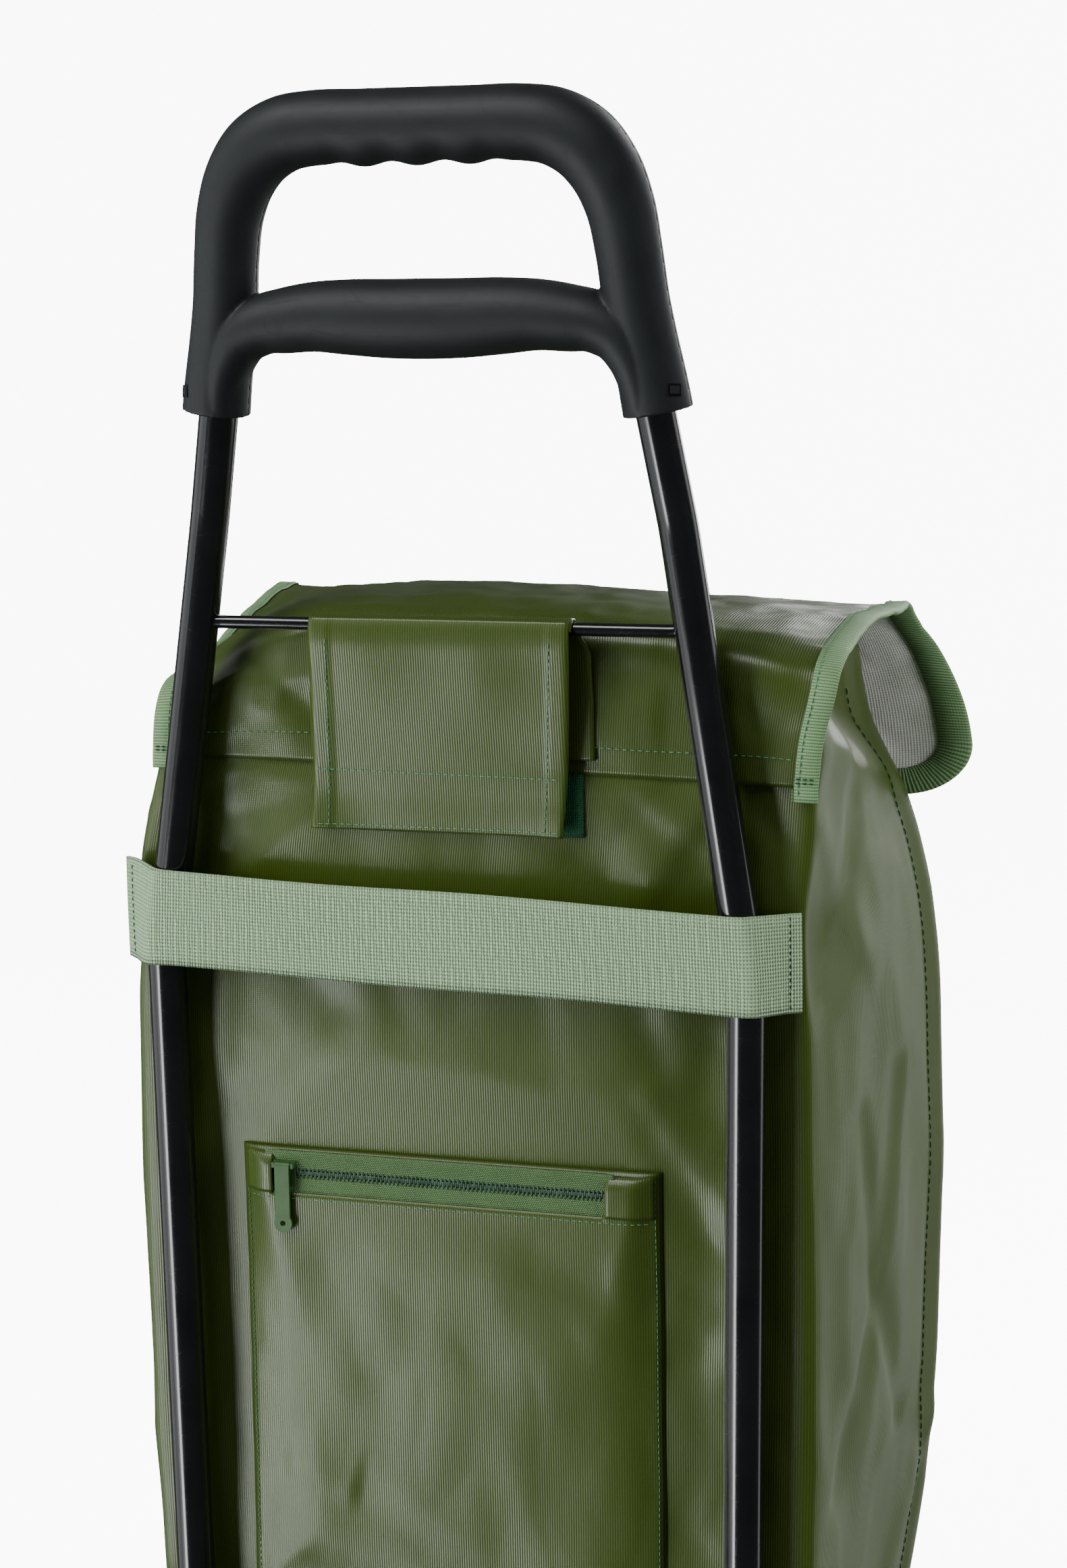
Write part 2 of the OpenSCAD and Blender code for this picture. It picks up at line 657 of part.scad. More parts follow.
module zip_slider() color(zip_green) leaning() translate([slider_x, 0, 0]) {
    w = slider_w / 2;
    h = slider_h / 2;
    block([-w, slider_face, zip_mid - h], [w, slider_face + slider_plate_t, zip_mid + h]);
    block([-w, slider_back, zip_mid - h], [w, slider_back + slider_plate_t, zip_mid + h]);
    block([-w + 0.5, slider_face, zip_mid - 0.4], [-w + 3.5, slider_back + 0.5, zip_mid + 0.4]);
    for (side = [-1, 1]) translate([side * (w - 0.7), 0, 0])
        block([-0.7, bail_y - bail_r, bail_z - 1.4], [0.7, slider_face + 0.5, bail_z + 1.4]);
    translate([0, bail_y, bail_z]) along_x(-w + 0.5) cylinder(r = bail_r, h = slider_w - 1, $fn = 32);
}

module zip_pull() color(zip_green) leaning() translate([slider_x, bail_y, bail_z]) {
    eye_w = slider_w - 3.6;
    eye_r = 1.75;
    plate_x = 5;
    difference() {
        union() {
            along_x(-eye_w / 2) cylinder(r = eye_r, h = eye_w, $fn = 32);
            block([-plate_x + 1, -eye_r, -pull_l + plate_x], [plate_x - 1, pull_t - eye_r, 0]);
            translate([0, -eye_r, -pull_l + plate_x]) rotate([-90, 0, 0]) cylinder(r = plate_x, h = pull_t);
        }
        along_x(-eye_w) cylinder(r = bail_r + shaft_gap, h = 2 * eye_w, $fn = 32);
        translate([0, -eye_r - 1, -pull_l + plate_x]) rotate([-90, 0, 0]) cylinder(r = 1.5, h = pull_t + 2);
    }
}

left_side_tube();
right_side_tube();
hanger_rod();
lower_crossbar();
base_frame();
base_wires();
stand_leg();
stand_glides();
tube_plugs();
axle();
axle_spacers();
axle_washers();
axle_caps();
left_wheel_hub();
left_tyre();
right_wheel_hub();
right_tyre();
handle_rear_shell();
handle_front_shell();
snap_latches();
bag_back_panel();
bag_front_panel();
bag_left_side();
bag_right_side();
bag_bottom_panel();
bottom_board();
front_loop_tape();
flap_rear_leaf();
rear_binding();
flap_lid_leaf();
lid_binding();
lid_hook_tape();
hanger_inner_leaf();
hanger_loop_tape();
hanger_outer_leaf();
hanger_hook_tape();
webbing_strap();
pocket_panel();
zip_left_tab();
zip_right_tab();
zip_upper_tape();
zip_lower_tape();
zip_upper_teeth();
zip_lower_teeth();
zip_slider();
zip_pull();
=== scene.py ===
import bpy, bmesh, math
import numpy as np
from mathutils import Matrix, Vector, noise
from mathutils.bvhtree import BVHTree


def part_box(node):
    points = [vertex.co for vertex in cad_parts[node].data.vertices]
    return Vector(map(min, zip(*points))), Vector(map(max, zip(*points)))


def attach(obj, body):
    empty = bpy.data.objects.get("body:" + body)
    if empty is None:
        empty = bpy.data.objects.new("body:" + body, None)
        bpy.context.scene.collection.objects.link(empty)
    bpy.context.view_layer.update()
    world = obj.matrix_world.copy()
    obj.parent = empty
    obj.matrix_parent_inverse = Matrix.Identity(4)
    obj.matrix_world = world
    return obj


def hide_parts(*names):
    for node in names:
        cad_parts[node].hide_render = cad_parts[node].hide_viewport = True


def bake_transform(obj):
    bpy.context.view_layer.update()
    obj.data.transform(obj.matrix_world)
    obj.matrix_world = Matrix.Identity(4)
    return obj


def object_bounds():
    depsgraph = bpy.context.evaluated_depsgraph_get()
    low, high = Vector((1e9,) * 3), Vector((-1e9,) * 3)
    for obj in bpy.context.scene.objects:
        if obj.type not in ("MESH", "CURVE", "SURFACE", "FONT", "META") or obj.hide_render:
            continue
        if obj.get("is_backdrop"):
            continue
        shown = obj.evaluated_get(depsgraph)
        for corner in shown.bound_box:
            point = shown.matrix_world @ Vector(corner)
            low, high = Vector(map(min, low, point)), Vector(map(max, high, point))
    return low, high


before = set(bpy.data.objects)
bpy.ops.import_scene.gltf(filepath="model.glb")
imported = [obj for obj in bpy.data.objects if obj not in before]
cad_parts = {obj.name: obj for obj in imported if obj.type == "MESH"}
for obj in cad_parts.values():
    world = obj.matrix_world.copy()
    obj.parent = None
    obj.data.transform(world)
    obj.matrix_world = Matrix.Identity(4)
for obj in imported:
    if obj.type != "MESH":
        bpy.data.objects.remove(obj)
cad_lo, cad_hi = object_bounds()
scene = bpy.context.scene
MM = 0.001

# ---------------------------------------------------------------- the leaned frame
LEAN = math.radians(3.1)         # the lower tubes and the bag
HANDLE_LEAN = math.radians(8.5)  # the upper tubes and the handle
BEND_Z = 664                     # the tubes' upper bend, in mm along them
wheel_lo, wheel_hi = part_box("left_tyre")
AXLE_Y, AXLE_Z = (wheel_lo.y + wheel_hi.y) / 2, (wheel_lo.z + wheel_hi.z) / 2


def leaned(p):
    """World metres of leaned-frame points in mm: x across, y forward of the tubes, z along them."""
    p = np.asarray(p, float)
    x, y, z = p[..., 0], p[..., 1], p[..., 2]
    c, s = math.cos(LEAN), math.sin(LEAN)
    return np.stack([x * MM, AXLE_Y + (y * c - z * s) * MM, AXLE_Z + (y * s + z * c) * MM], -1)


def upright(p):
    """World metres of points in mm: x across, y forward of the axle's plane, z above the floor."""
    p = np.asarray(p, float)
    return np.stack([p[..., 0] * MM, AXLE_Y + p[..., 1] * MM, p[..., 2] * MM], -1)


def lean_of(p):
    """The leaned frame in mm of world points in metres."""
    p = np.asarray(p, float)
    c, s = math.cos(LEAN), math.sin(LEAN)
    y, z = (p[..., 1] - AXLE_Y) / MM, (p[..., 2] - AXLE_Z) / MM
    return np.stack([p[..., 0] / MM, y * c + z * s, -y * s + z * c], -1)


def xyz(x, y, z):
    """Points from three coordinates, each an array or one number."""
    return np.stack(np.broadcast_arrays(x, y, z), -1)


# ---------------------------------------------------------------- materials
def material(name, color, rough, metal=0.0, coat=0.0, coat_rough=0.2):
    m = bpy.data.materials.new(name)
    m.use_nodes = True
    b = m.node_tree.nodes["Principled BSDF"]
    b.inputs["Base Color"].default_value = (*color, 1)
    b.inputs["Roughness"].default_value = rough
    b.inputs["Metallic"].default_value = metal
    b.inputs["Coat Weight"].default_value = coat
    b.inputs["Coat Roughness"].default_value = coat_rough
    return m


def glowing(name, grey, rough, tint, strength):
    m = material(name, (grey, grey, grey), rough)
    b = m.node_tree.nodes["Principled BSDF"]
    b.inputs["Emission Color"].default_value = (*tint, 1)
    b.inputs["Emission Strength"].default_value = strength
    return m


def node(m, kind, **inputs):
    n = m.node_tree.nodes.new(kind)
    for k, v in inputs.items():
        n.inputs[k].default_value = v
    return n


def link(m, a, out, b, into):
    m.node_tree.links.new(a.outputs[out], b.inputs[into])


def coords(m, kind):
    c = node(m, "ShaderNodeTexCoord")
    p = node(m, "ShaderNodeMapping")
    link(m, c, kind, p, "Vector")
    return p


def ramp(m, source, out, low, high, color_low, color_high):
    r = node(m, "ShaderNodeValToRGB")
    r.color_ramp.elements[0].position, r.color_ramp.elements[1].position = low, high
    r.color_ramp.elements[0].color, r.color_ramp.elements[1].color = (*color_low, 1), (*color_high, 1)
    link(m, source, out, r, "Fac")
    return r


def woven(name, dark, light, rough, rib, across=0.25, depth=0.00016, strength=0.35, blotch=0.4, **more):
    """Ribbed cloth: bands along the first coordinate every rib metres, finer picks across, cloudy colour."""
    m = material(name, dark, rough, **more)
    b = m.node_tree.nodes["Principled BSDF"]
    p = coords(m, "UV")
    period = 2 * math.pi / 20
    ribs = node(m, "ShaderNodeTexWave", Scale=period / rib, Distortion=0.15)
    ribs.bands_direction = "X"
    picks = node(m, "ShaderNodeTexWave", Scale=period / (rib * 0.8), Distortion=0.15)
    picks.bands_direction = "Y"
    cloud = node(m, "ShaderNodeTexNoise", Scale=18.0, Detail=4.0)
    grain = node(m, "ShaderNodeTexNoise", Scale=900.0, Detail=2.0)
    for n in (ribs, picks, cloud, grain):
        link(m, p, "Vector", n, "Vector")
    mix = node(m, "ShaderNodeMath")
    mix.operation = "MULTIPLY_ADD"
    mix.inputs[1].default_value = across
    link(m, picks, "Fac", mix, 0)
    link(m, ribs, "Fac", mix, 2)
    tone = node(m, "ShaderNodeMix")
    tone.data_type = "FLOAT"
    tone.inputs["Factor"].default_value = blotch
    link(m, mix, "Value", tone, 2)
    link(m, cloud, "Fac", tone, 3)
    r = ramp(m, tone, "Result", 0.2, 0.85, dark, light)
    link(m, r, "Color", b, "Base Color")
    rr = node(m, "ShaderNodeMapRange", **{"To Min": rough - 0.05, "To Max": rough + 0.07})
    link(m, grain, "Fac", rr, "Value")
    link(m, rr, "Result", b, "Roughness")
    bump = node(m, "ShaderNodeBump", Strength=strength, Distance=depth)
    link(m, mix, "Value", bump, "Height")
    link(m, bump, "Normal", b, "Normal")
    if more.get("coat"):
        link(m, bump, "Normal", b, "Coat Normal")
    return m


def grained(name, dark, light, rough, scale=60.0, depth=0.00008, strength=0.2, spread=0.06, **more):
    """Hard stuff with a faint grain, cloudy roughness and fine scratches."""
    m = material(name, dark, rough, **more)
    b = m.node_tree.nodes["Principled BSDF"]
    p = coords(m, "Object")
    cloud = node(m, "ShaderNodeTexNoise", Scale=scale, Detail=5.0)
    fine = node(m, "ShaderNodeTexNoise", Scale=2600.0, Detail=2.0)
    worn = node(m, "ShaderNodeTexVoronoi", Scale=55.0)
    worn.feature = "DISTANCE_TO_EDGE"
    for n in (cloud, fine, worn):
        link(m, p, "Vector", n, "Vector")
    r = ramp(m, cloud, "Fac", 0.35, 0.75, dark, light)
    link(m, r, "Color", b, "Base Color")
    scratch = node(m, "ShaderNodeMapRange", **{"From Max": 0.02, "To Min": 1.0, "To Max": 0.0})
    link(m, worn, "Distance", scratch, "Value")
    rr = node(m, "ShaderNodeMapRange", **{"To Min": rough - spread, "To Max": rough + spread})
    link(m, cloud, "Fac", rr, "Value")
    add = node(m, "ShaderNodeMath")
    add.operation = "MULTIPLY_ADD"
    add.inputs[1].default_value = 0.08
    link(m, scratch, "Result", add, 0)
    link(m, rr, "Result", add, 2)
    link(m, add, "Value", b, "Roughness")
    bump = node(m, "ShaderNodeBump", Strength=strength, Distance=depth)
    link(m, fine, "Fac", bump, "Height")
    link(m, bump, "Normal", b, "Normal")
    return m


CANVAS = woven("coated_canvas", (0.027, 0.047, 0.0034), (0.052, 0.085, 0.0080), 0.40, 0.0013, coat=0.3,
               coat_rough=0.10, strength=0.35)
REVERSE = woven("canvas_reverse", (0.50, 0.51, 0.46), (0.85, 0.86, 0.80), 0.85, 0.0013, across=1.0,
                blotch=0.15, strength=0.6)
BINDING = woven("binding_tape", (0.085, 0.165, 0.065), (0.220, 0.370, 0.180), 0.62, 0.0016, blotch=0.2,
                strength=0.7, depth=0.0003)
WEBBING = woven("webbing", (0.170, 0.300, 0.140), (0.420, 0.600, 0.370), 0.62, 0.0019, across=0.9,
                blotch=0.1, strength=1.0, depth=0.0007)
HOOKS = woven("hook_and_loop", (0.010, 0.075, 0.030), (0.030, 0.160, 0.070), 0.9, 0.0011, across=1.0,
              strength=1.0, depth=0.0006)
TAPE = woven("zip_tape", (0.040, 0.100, 0.028), (0.120, 0.220, 0.085), 0.65, 0.0012, across=0.9, blotch=0.1,
             strength=1.0, depth=0.0004)
TEETH = grained("zip_coil", (0.014, 0.045, 0.020), (0.060, 0.115, 0.075), 0.42, scale=400)
PAINT = grained("zip_paint", (0.030, 0.085, 0.020), (0.048, 0.120, 0.034), 0.45, scale=90)
THREAD = grained("thread", (0.075, 0.230, 0.110), (0.140, 0.330, 0.180), 0.6, scale=700)
DARK_THREAD = grained("dark_thread", (0.004, 0.040, 0.020), (0.010, 0.070, 0.035), 0.6, scale=700)
STEEL = grained("black_enamel", (0.0030, 0.0033, 0.0038), (0.0060, 0.0064, 0.0072), 0.20, scale=35, coat=0.7,
                coat_rough=0.10, strength=0.1)
HANDLE = grained("handle_plastic", (0.0080, 0.0096, 0.0107), (0.0112, 0.0134, 0.0148), 0.56, scale=45,
                 strength=0.35)
# painted shade: a near-black plate stands in for the shaded opening round each latch end
GAP_SHADE = grained("latch_gap_painted_shade", (0.0010, 0.0011, 0.0012), (0.0016, 0.0017, 0.0018), 0.7, scale=80)
PLASTIC = grained("small_plastic", (0.010, 0.010, 0.011), (0.018, 0.018, 0.020), 0.45, scale=80)
ZINC = grained("zinc", (0.42, 0.43, 0.44), (0.60, 0.61, 0.62), 0.32, scale=120, metal=1.0)
RUBBER = grained("tyre_rubber", (0.010, 0.010, 0.010), (0.024, 0.023, 0.022), 0.78, scale=70, strength=0.5)
HUB = grained("hub_plastic", (0.030, 0.031, 0.034), (0.048, 0.049, 0.052), 0.42, scale=60)
BOARD = grained("board", (0.07, 0.07, 0.065), (0.12, 0.12, 0.11), 0.8, scale=80)

dress = (
    (STEEL, "left_side_tube right_side_tube hanger_rod lower_crossbar base_frame base_wires stand_leg"),
    (PLASTIC, "stand_glides tube_plugs axle_spacers axle_caps"),
    (ZINC, "axle axle_washers"),
    (RUBBER, "left_tyre right_tyre"),
    (HUB, "left_wheel_hub right_wheel_hub"),
    (BOARD, "bottom_board"),
    (HOOKS, "front_loop_tape lid_hook_tape hanger_hook_tape hanger_loop_tape"),
)
for paint, names in dress:
    for n in names.split():
        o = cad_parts[n]
        o.data.materials.clear()
        o.data.materials.append(paint)


# ---------------------------------------------------------------- mesh helpers
def mesh_object(name, verts, faces, mats, uv=None, face_mat=None, smooth=True):
    me = bpy.data.meshes.new(name)
    points = [tuple(v) for v in np.asarray(verts).reshape(-1, 3)]
    me.from_pydata(points, [], [tuple(int(i) for i in f) for f in faces])
    me.update()
    if uv is not None:
        layer = me.uv_layers.new(name="UVMap")
        idx = np.zeros(len(me.loops), int)
        me.loops.foreach_get("vertex_index", idx)
        layer.data.foreach_set("uv", np.asarray(uv, float).reshape(-1, 2)[idx].ravel())
    for m in mats:
        me.materials.append(m)
    if face_mat is not None:
        me.polygons.foreach_set("material_index", np.asarray(face_mat, int))
    me.polygons.foreach_set("use_smooth", [smooth] * len(me.polygons))
    o = bpy.data.objects.new(name, me)
    scene.collection.objects.link(o)
    return o


def quads(n, m, closed=False, flip=False):
    rows, cols = np.meshgrid(np.arange(n - 1), np.arange(m if closed else m - 1), indexing="ij")
    a = rows * m + cols
    b = rows * m + (cols + 1) % m
    f = np.stack([a, b, b + m, a + m], -1).reshape(-1, 4)
    return f[:, ::-1] if flip else f


def thicken(o, thick, offset=-1.0, reverse=0):
    s = o.modifiers.new("thickness", "SOLIDIFY")
    s.thickness, s.offset, s.material_offset = thick * MM, offset, reverse
    bpy.context.view_layer.objects.active = o
    bpy.ops.object.modifier_apply(modifier="thickness")


def unit(v):
    return v / np.maximum(np.linalg.norm(v, axis=-1, keepdims=True), 1e-12)


def run_along(path):
    """Distance along a path up to each of its points."""
    return np.r_[0, np.cumsum(np.linalg.norm(np.diff(path, axis=0), axis=1))]


def at_run(at, run, path):
    """Points of a path at the given distances along it."""
    return np.stack([np.interp(at, run, path[:, k]) for k in range(3)], -1)


def grid(x0, x1, nx, z0, z1, nz):
    return np.meshgrid(np.linspace(x0, x1, nx), np.linspace(z0, z1, nz))


def ease(t):
    return t * t * (3 - 2 * t)


def between(t, h, v0, s0, v1, s1):
    """Cubic from v0 with slope s0 to v1 with slope s1, at the share t of a step h."""
    return ((2 * t**3 - 3 * t**2 + 1) * v0 + (t**3 - 2 * t**2 + t) * h * s0
            + (-2 * t**3 + 3 * t**2) * v1 + (t**3 - t**2) * h * s1)


def smooth_noise(p, scale, seed):
    """Soft noise from -1 to 1 at points in mm, with features about scale mm across."""
    flat = np.asarray(p, float).reshape(-1, 3) / scale + seed * 17.3
    return np.array([noise.noise(v) for v in flat]).reshape(np.asarray(p).shape[:-1])


def hermite(knots, values, at):
    """Smooth curve through values (k, ...) at knots, at the places asked for."""
    knots, values, at = np.asarray(knots, float), np.asarray(values, float), np.asarray(at, float)
    slope = np.gradient(values, knots, axis=0)
    i = np.clip(np.searchsorted(knots, at, side="right") - 1, 0, len(knots) - 2)
    h = knots[i + 1] - knots[i]
    t = (at - knots[i]) / h
    shape = (-1,) + (1,) * (values.ndim - 1)
    t, h = t.reshape(shape), h.reshape(shape)
    return between(t, h, values[i], slope[i], values[i + 1], slope[i + 1])


def resample(path, step):
    path = np.asarray(path, float)
    d = run_along(path)
    n = max(2, int(round(d[-1] / step)) + 1)
    return at_run(np.linspace(0, d[-1], n), d, path)


def stitches(name, runs, mat, body, length, gap, width, sink=0.12):
    """Rows of thread: runs is a list of (points, normals) in world metres, the sizes are in mm."""
    verts, faces = [], []
    for pts, nrm in runs:
        pts, nrm = np.asarray(pts, float), np.asarray(nrm, float)
        d = run_along(pts)
        count = max(1, int(d[-1] / ((length + gap) * MM)))
        for i in range(count):
            s0 = (i + 0.5) * d[-1] / count - length * MM / 2
            at = s0 + np.array([0, 0.2, 0.5, 0.8, 1]) * length * MM
            p, n = at_run(at, d, pts), unit(at_run(at, d, nrm))
            side = np.cross(n, unit(p[-1] - p[0]))
            lift = np.array([-sink, 0.6, 1.0, 0.6, -sink]) * width * 0.5 * MM
            wide = np.array([0.35, 0.9, 1.0, 0.9, 0.35]) * width * 0.5 * MM
            base = len(verts)
            for k in range(5):
                for a in range(6):
                    c, s = math.cos(a * math.pi / 3), math.sin(a * math.pi / 3)
                    verts.append(p[k] + n[k] * (lift[k] + wide[k] * s) + side[k] * wide[k] * c)
            for k in range(4):
                for a in range(6):
                    b = (a + 1) % 6
                    low = base + k * 6
                    faces.append((low + a, low + b, low + 6 + b, low + 6 + a))
            faces.append(tuple(base + a for a in range(5, -1, -1)))
            faces.append(tuple(base + 24 + a for a in range(6)))
    o = mesh_object(name, verts, faces, [mat])
    if body:
        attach(o, body)
    return o


def oval_bar(path, half, up, sides):
    """Points and faces of a bar along path; half (n, 2) is its half size square to up and along up."""
    path = np.asarray(path, float)
    half = np.broadcast_to(np.asarray(half, float), (len(path), 2))
    t = unit(np.gradient(path, axis=0))
    side = unit(np.cross(t, np.asarray(up, float)))
    top = np.cross(side, t)
    a = np.linspace(0, 2 * math.pi, sides, endpoint=False)
    points = (path[:, None] + side[:, None] * (half[:, 0:1] * np.cos(a))[..., None]
              + top[:, None] * (half[:, 1:2] * np.sin(a))[..., None])
    faces = [tuple(q) for q in quads(len(path), sides, closed=True)]
    faces += [tuple(range(sides - 1, -1, -1)), tuple((len(path) - 1) * sides + k for k in range(sides))]
    return points.reshape(-1, 3), faces


# ---------------------------------------------------------------- camera and studio
azimuth, pitch = math.radians(18.63), math.radians(6.27)
cam_data = bpy.data.cameras.new("camera")
cam_data.sensor_width = 36
cam_data.lens = 77.36
cam = bpy.data.objects.new("camera", cam_data)
scene.collection.objects.link(cam)
cam.location = (0.583, -1.695, 0.792)
look = Vector((-math.sin(azimuth) * math.cos(pitch), math.cos(azimuth) * math.cos(pitch), -math.sin(pitch)))
cam.rotation_euler = look.to_track_quat("-Z", "Y").to_euler()
scene.camera = cam

world = bpy.data.worlds.new("studio")
scene.world = world
world.use_nodes = True
world.node_tree.nodes["Background"].inputs[0].default_value = (0.96, 0.98, 1, 1)
world.node_tree.nodes["Background"].inputs[1].default_value = 0.07


def lamp(name, place, target, size, power):
    data = bpy.data.lights.new(name, "AREA")
    data.shape, data.size, data.size_y, data.energy = "RECTANGLE", size[0], size[1], power
    o = bpy.data.objects.new(name, data)
    scene.collection.objects.link(o)
    o.location = place
    o.rotation_euler = (Vector(target) - Vector(place)).to_track_quat("-Z", "Y").to_euler()
    return o


def card(name, azimuth_deg, away, low, high, width, glow, tint=(1, 1, 1)):
    """A tall soft panel of light standing round the object; azimuth 0 is behind it, 90 to its right."""
    a = math.radians(azimuth_deg)
    c = np.array([math.sin(a) * away, -math.cos(a) * away])
    t = np.array([math.cos(a), math.sin(a)]) * width / 2
    v = [(*(c - t), low), (*(c + t), low), (*(c + t), high), (*(c - t), high)]
    o = mesh_object(name, v, [(0, 1, 2, 3)], [glowing(name, 0.8, 0.8, tint, glow)])
    o.visible_camera = False
    o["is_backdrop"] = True


card("key_card", -39, 2.3, -1.5, 0.04, 0.55, 11.5, (0.97, 0.985, 1))
card("front_card", 163, 3.0, -1.3, 0.55, 0.9, 0.2)
card("left_wall", -76, 2.7, -1.5, 2.3, 2.8, 0.40, (0.93, 0.97, 1))
card("right_wall", 122, 2.7, -1.2, 2.3, 1.0, 0.5)
card("lid_card", 168, 2.6, 0.80, 2.2, 1.8, 4.2)
lamp("top", (-0.7, -1.3, 2.3), (0, 0, 0.9), (1.4, 0.8), 26)
lamp("lid_light", (0.9, 1.6, 2.2), (0.05, 0.1, 0.7), (0.8, 0.8), 22)
for spec in (("wash_left", (-1.9, -1.6, 1.0), (0, 0, 0.5), (1.2, 1.6), 52),
             ("wash_right", (2.3, -0.5, 0.9), (0.1, 0.1, 0.5), (1.2, 1.6), 46)):
    lamp(*spec).visible_glossy = False

SIDES, STUDIO_R = 64, 7
ring = [(STUDIO_R * math.cos(a), STUDIO_R * math.sin(a)) for a in np.linspace(0, 2 * math.pi, SIDES + 1)[:-1]]
ff = mesh_object("floor", [(x, y, 0) for x, y in ring], [tuple(range(SIDES))],
                 [glowing("floor", 0.9, 0.7, (1, 1, 1), 9.5)], smooth=False)
wall = [(k, (k + 1) % SIDES, SIDES + (k + 1) % SIDES, SIDES + k) for k in range(SIDES)]
bb = mesh_object("backdrop", [(x, y, z) for z in (-0.5, 7.5) for x, y in ring],
                 wall + [tuple(range(SIDES, 2 * SIDES))], [glowing("backdrop", 0.9, 0.8, (1, 1, 1), 9.5)],
                 smooth=False)
for o in (ff, bb):
    o.visible_glossy = o.visible_diffuse = o.visible_shadow = False
    o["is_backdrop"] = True

# ---------------------------------------------------------------- side tubes with smooth bends
TUBE_R = 10.0


def tube_line(side):
    """Centre line of a side tube: up to the lower bend, in to the upper bend, then inside the handle."""
    slope = math.radians(9.5)
    low = leaned([side * 150.8, 0, -15])
    bend1 = leaned([side * 157, 0, 443])
    bend2 = leaned([side * 124.4, 0, BEND_Z])
    up = np.array([-side * math.sin(slope), -math.sin(HANDLE_LEAN) * math.cos(slope),
                   math.cos(HANDLE_LEAN) * math.cos(slope)])
    top = bend2 + up * 95 * MM
    pts = [low]
    for before, corner, after in ((low, bend1, bend2), (bend1, bend2, top)):
        a = (corner - before) / np.linalg.norm(corner - before)
        b = (after - corner) / np.linalg.norm(after - corner)
        half = math.acos(np.clip(a @ b, -1, 1)) / 2
        cut = 120 * MM * math.tan(half)
        s, e = corner - a * cut, corner + b * cut
        for t in np.linspace(0, 1, 13):
            pts.append((1 - t)**2 * s + 2 * t * (1 - t) * corner + t * t * e)
    pts.append(top)
    return resample(pts, 4 * MM)


for side, label in ((-1, "left"), (1, "right")):
    points, faces = oval_bar(tube_line(side), (TUBE_R * MM, TUBE_R * MM), (0, 1, 0), 48)
    o = mesh_object(label + "_tube_smooth", points, faces, [STEEL])
    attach(o, "root")
    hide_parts(label + "_side_tube")

# ---------------------------------------------------------------- moulded handle
handle_root = leaned([0, 0, BEND_Z])


def on_handle(p):
    """World metres of points in the handle's frame in mm: x across, v up it, w forward."""
    p = np.asarray(p, float)
    x, v, w = p[..., 0], p[..., 1], p[..., 2]
    c, s = math.cos(HANDLE_LEAN), math.sin(HANDLE_LEAN)
    y, z = w * c - v * s, v * c + w * s
    return np.stack([x * MM, handle_root[1] + y * MM, handle_root[2] + z * MM], -1)


def spline(points, count):
    points = np.asarray(points, float)
    d = run_along(points[:, :3])
    return hermite(d, points, np.linspace(0, d[-1], count))


def v_of(z, w=0.0):
    """Height along the handle of a height z above the floor, in mm."""
    return (z - handle_root[2] / MM - w * math.sin(HANDLE_LEAN)) / math.cos(HANDLE_LEAN)


def bar_through(rows, w, count):
    """A bar through the rows of its right half and their mirror images, w mm off the handle's plane."""
    right = [(x, v_of(z, w), w, a, b) for x, z, a, b in rows]
    S = spline(right + [(-x, *rest) for x, *rest in right[-2::-1]], count)
    return oval_bar(S[:, :3], S[:, 3:5], (0, 0, 1), 40)


# each row: x, height above the floor, half width in the handle's plane, half depth across it
TOP_Z, GRIP_Z = 931.3, 838.5
outer_bar = [(116.4, 793, 17.4, 17.2), (114.4, 806, 17.1, 17.1), (110.8, 826, 16.6, 16.9),
             (107.6, 845, 16.4, 16.8), (104.7, 871, 16.3, 17.0), (101.0, 892, 16.9, 17.4),
             (94.5, 908, 17.9, 17.9), (84.0, 921, 18.8, 18.2), (70.0, 928.6, 18.7, 18.4),
             (54, 931.1, 18.3, 18.4), (30, TOP_Z, 18.1, 18.4), (0, TOP_Z, 18.1, 18.4)]
v1, f1 = bar_through(outer_bar, 0, 260)
grip_bar = [(111.5, 795, 10.5, 14.5), (109.2, 808, 11.2, 15.2), (105, 820, 12.5, 15.8),
            (97.5, 831, 14.6, 16.4), (86, 836.5, 15.2, 16.8), (74, 838.2, 16.4, 17.2),
            (60, 839.8, 17.2, 17.6), (40, 839.6, 18.6, 18.0), (18, 838.7, 19.4, 18.2),
            (0, GRIP_Z, 19.6, 18.3)]
v2, f2 = bar_through(grip_bar, -2.2, 220)
f2 = [tuple(i + len(v1) for i in f) for f in f2]
raw = mesh_object("handle_raw", on_handle(np.r_[v1, v2]), f1 + f2, [HANDLE])
bpy.context.view_layer.objects.active = raw
r = raw.modifiers.new("remesh", "REMESH")
r.mode, r.voxel_size, r.use_smooth_shade = "VOXEL", 1.0 * MM, True
bpy.ops.object.modifier_apply(modifier="remesh")
s = raw.modifiers.new("smooth", "SMOOTH")
s.factor, s.iterations = 0.5, 3
bpy.ops.object.modifier_apply(modifier="smooth")


def handle_frame(co):
    """The handle's frame in mm of world points in metres."""
    c, s = math.cos(HANDLE_LEAN), math.sin(HANDLE_LEAN)
    dy, dz = (co[:, 1] - handle_root[1]) / MM, (co[:, 2] - handle_root[2]) / MM
    return np.stack([co[:, 0] / MM, -dy * s + dz * c, dy * c + dz * s], -1)


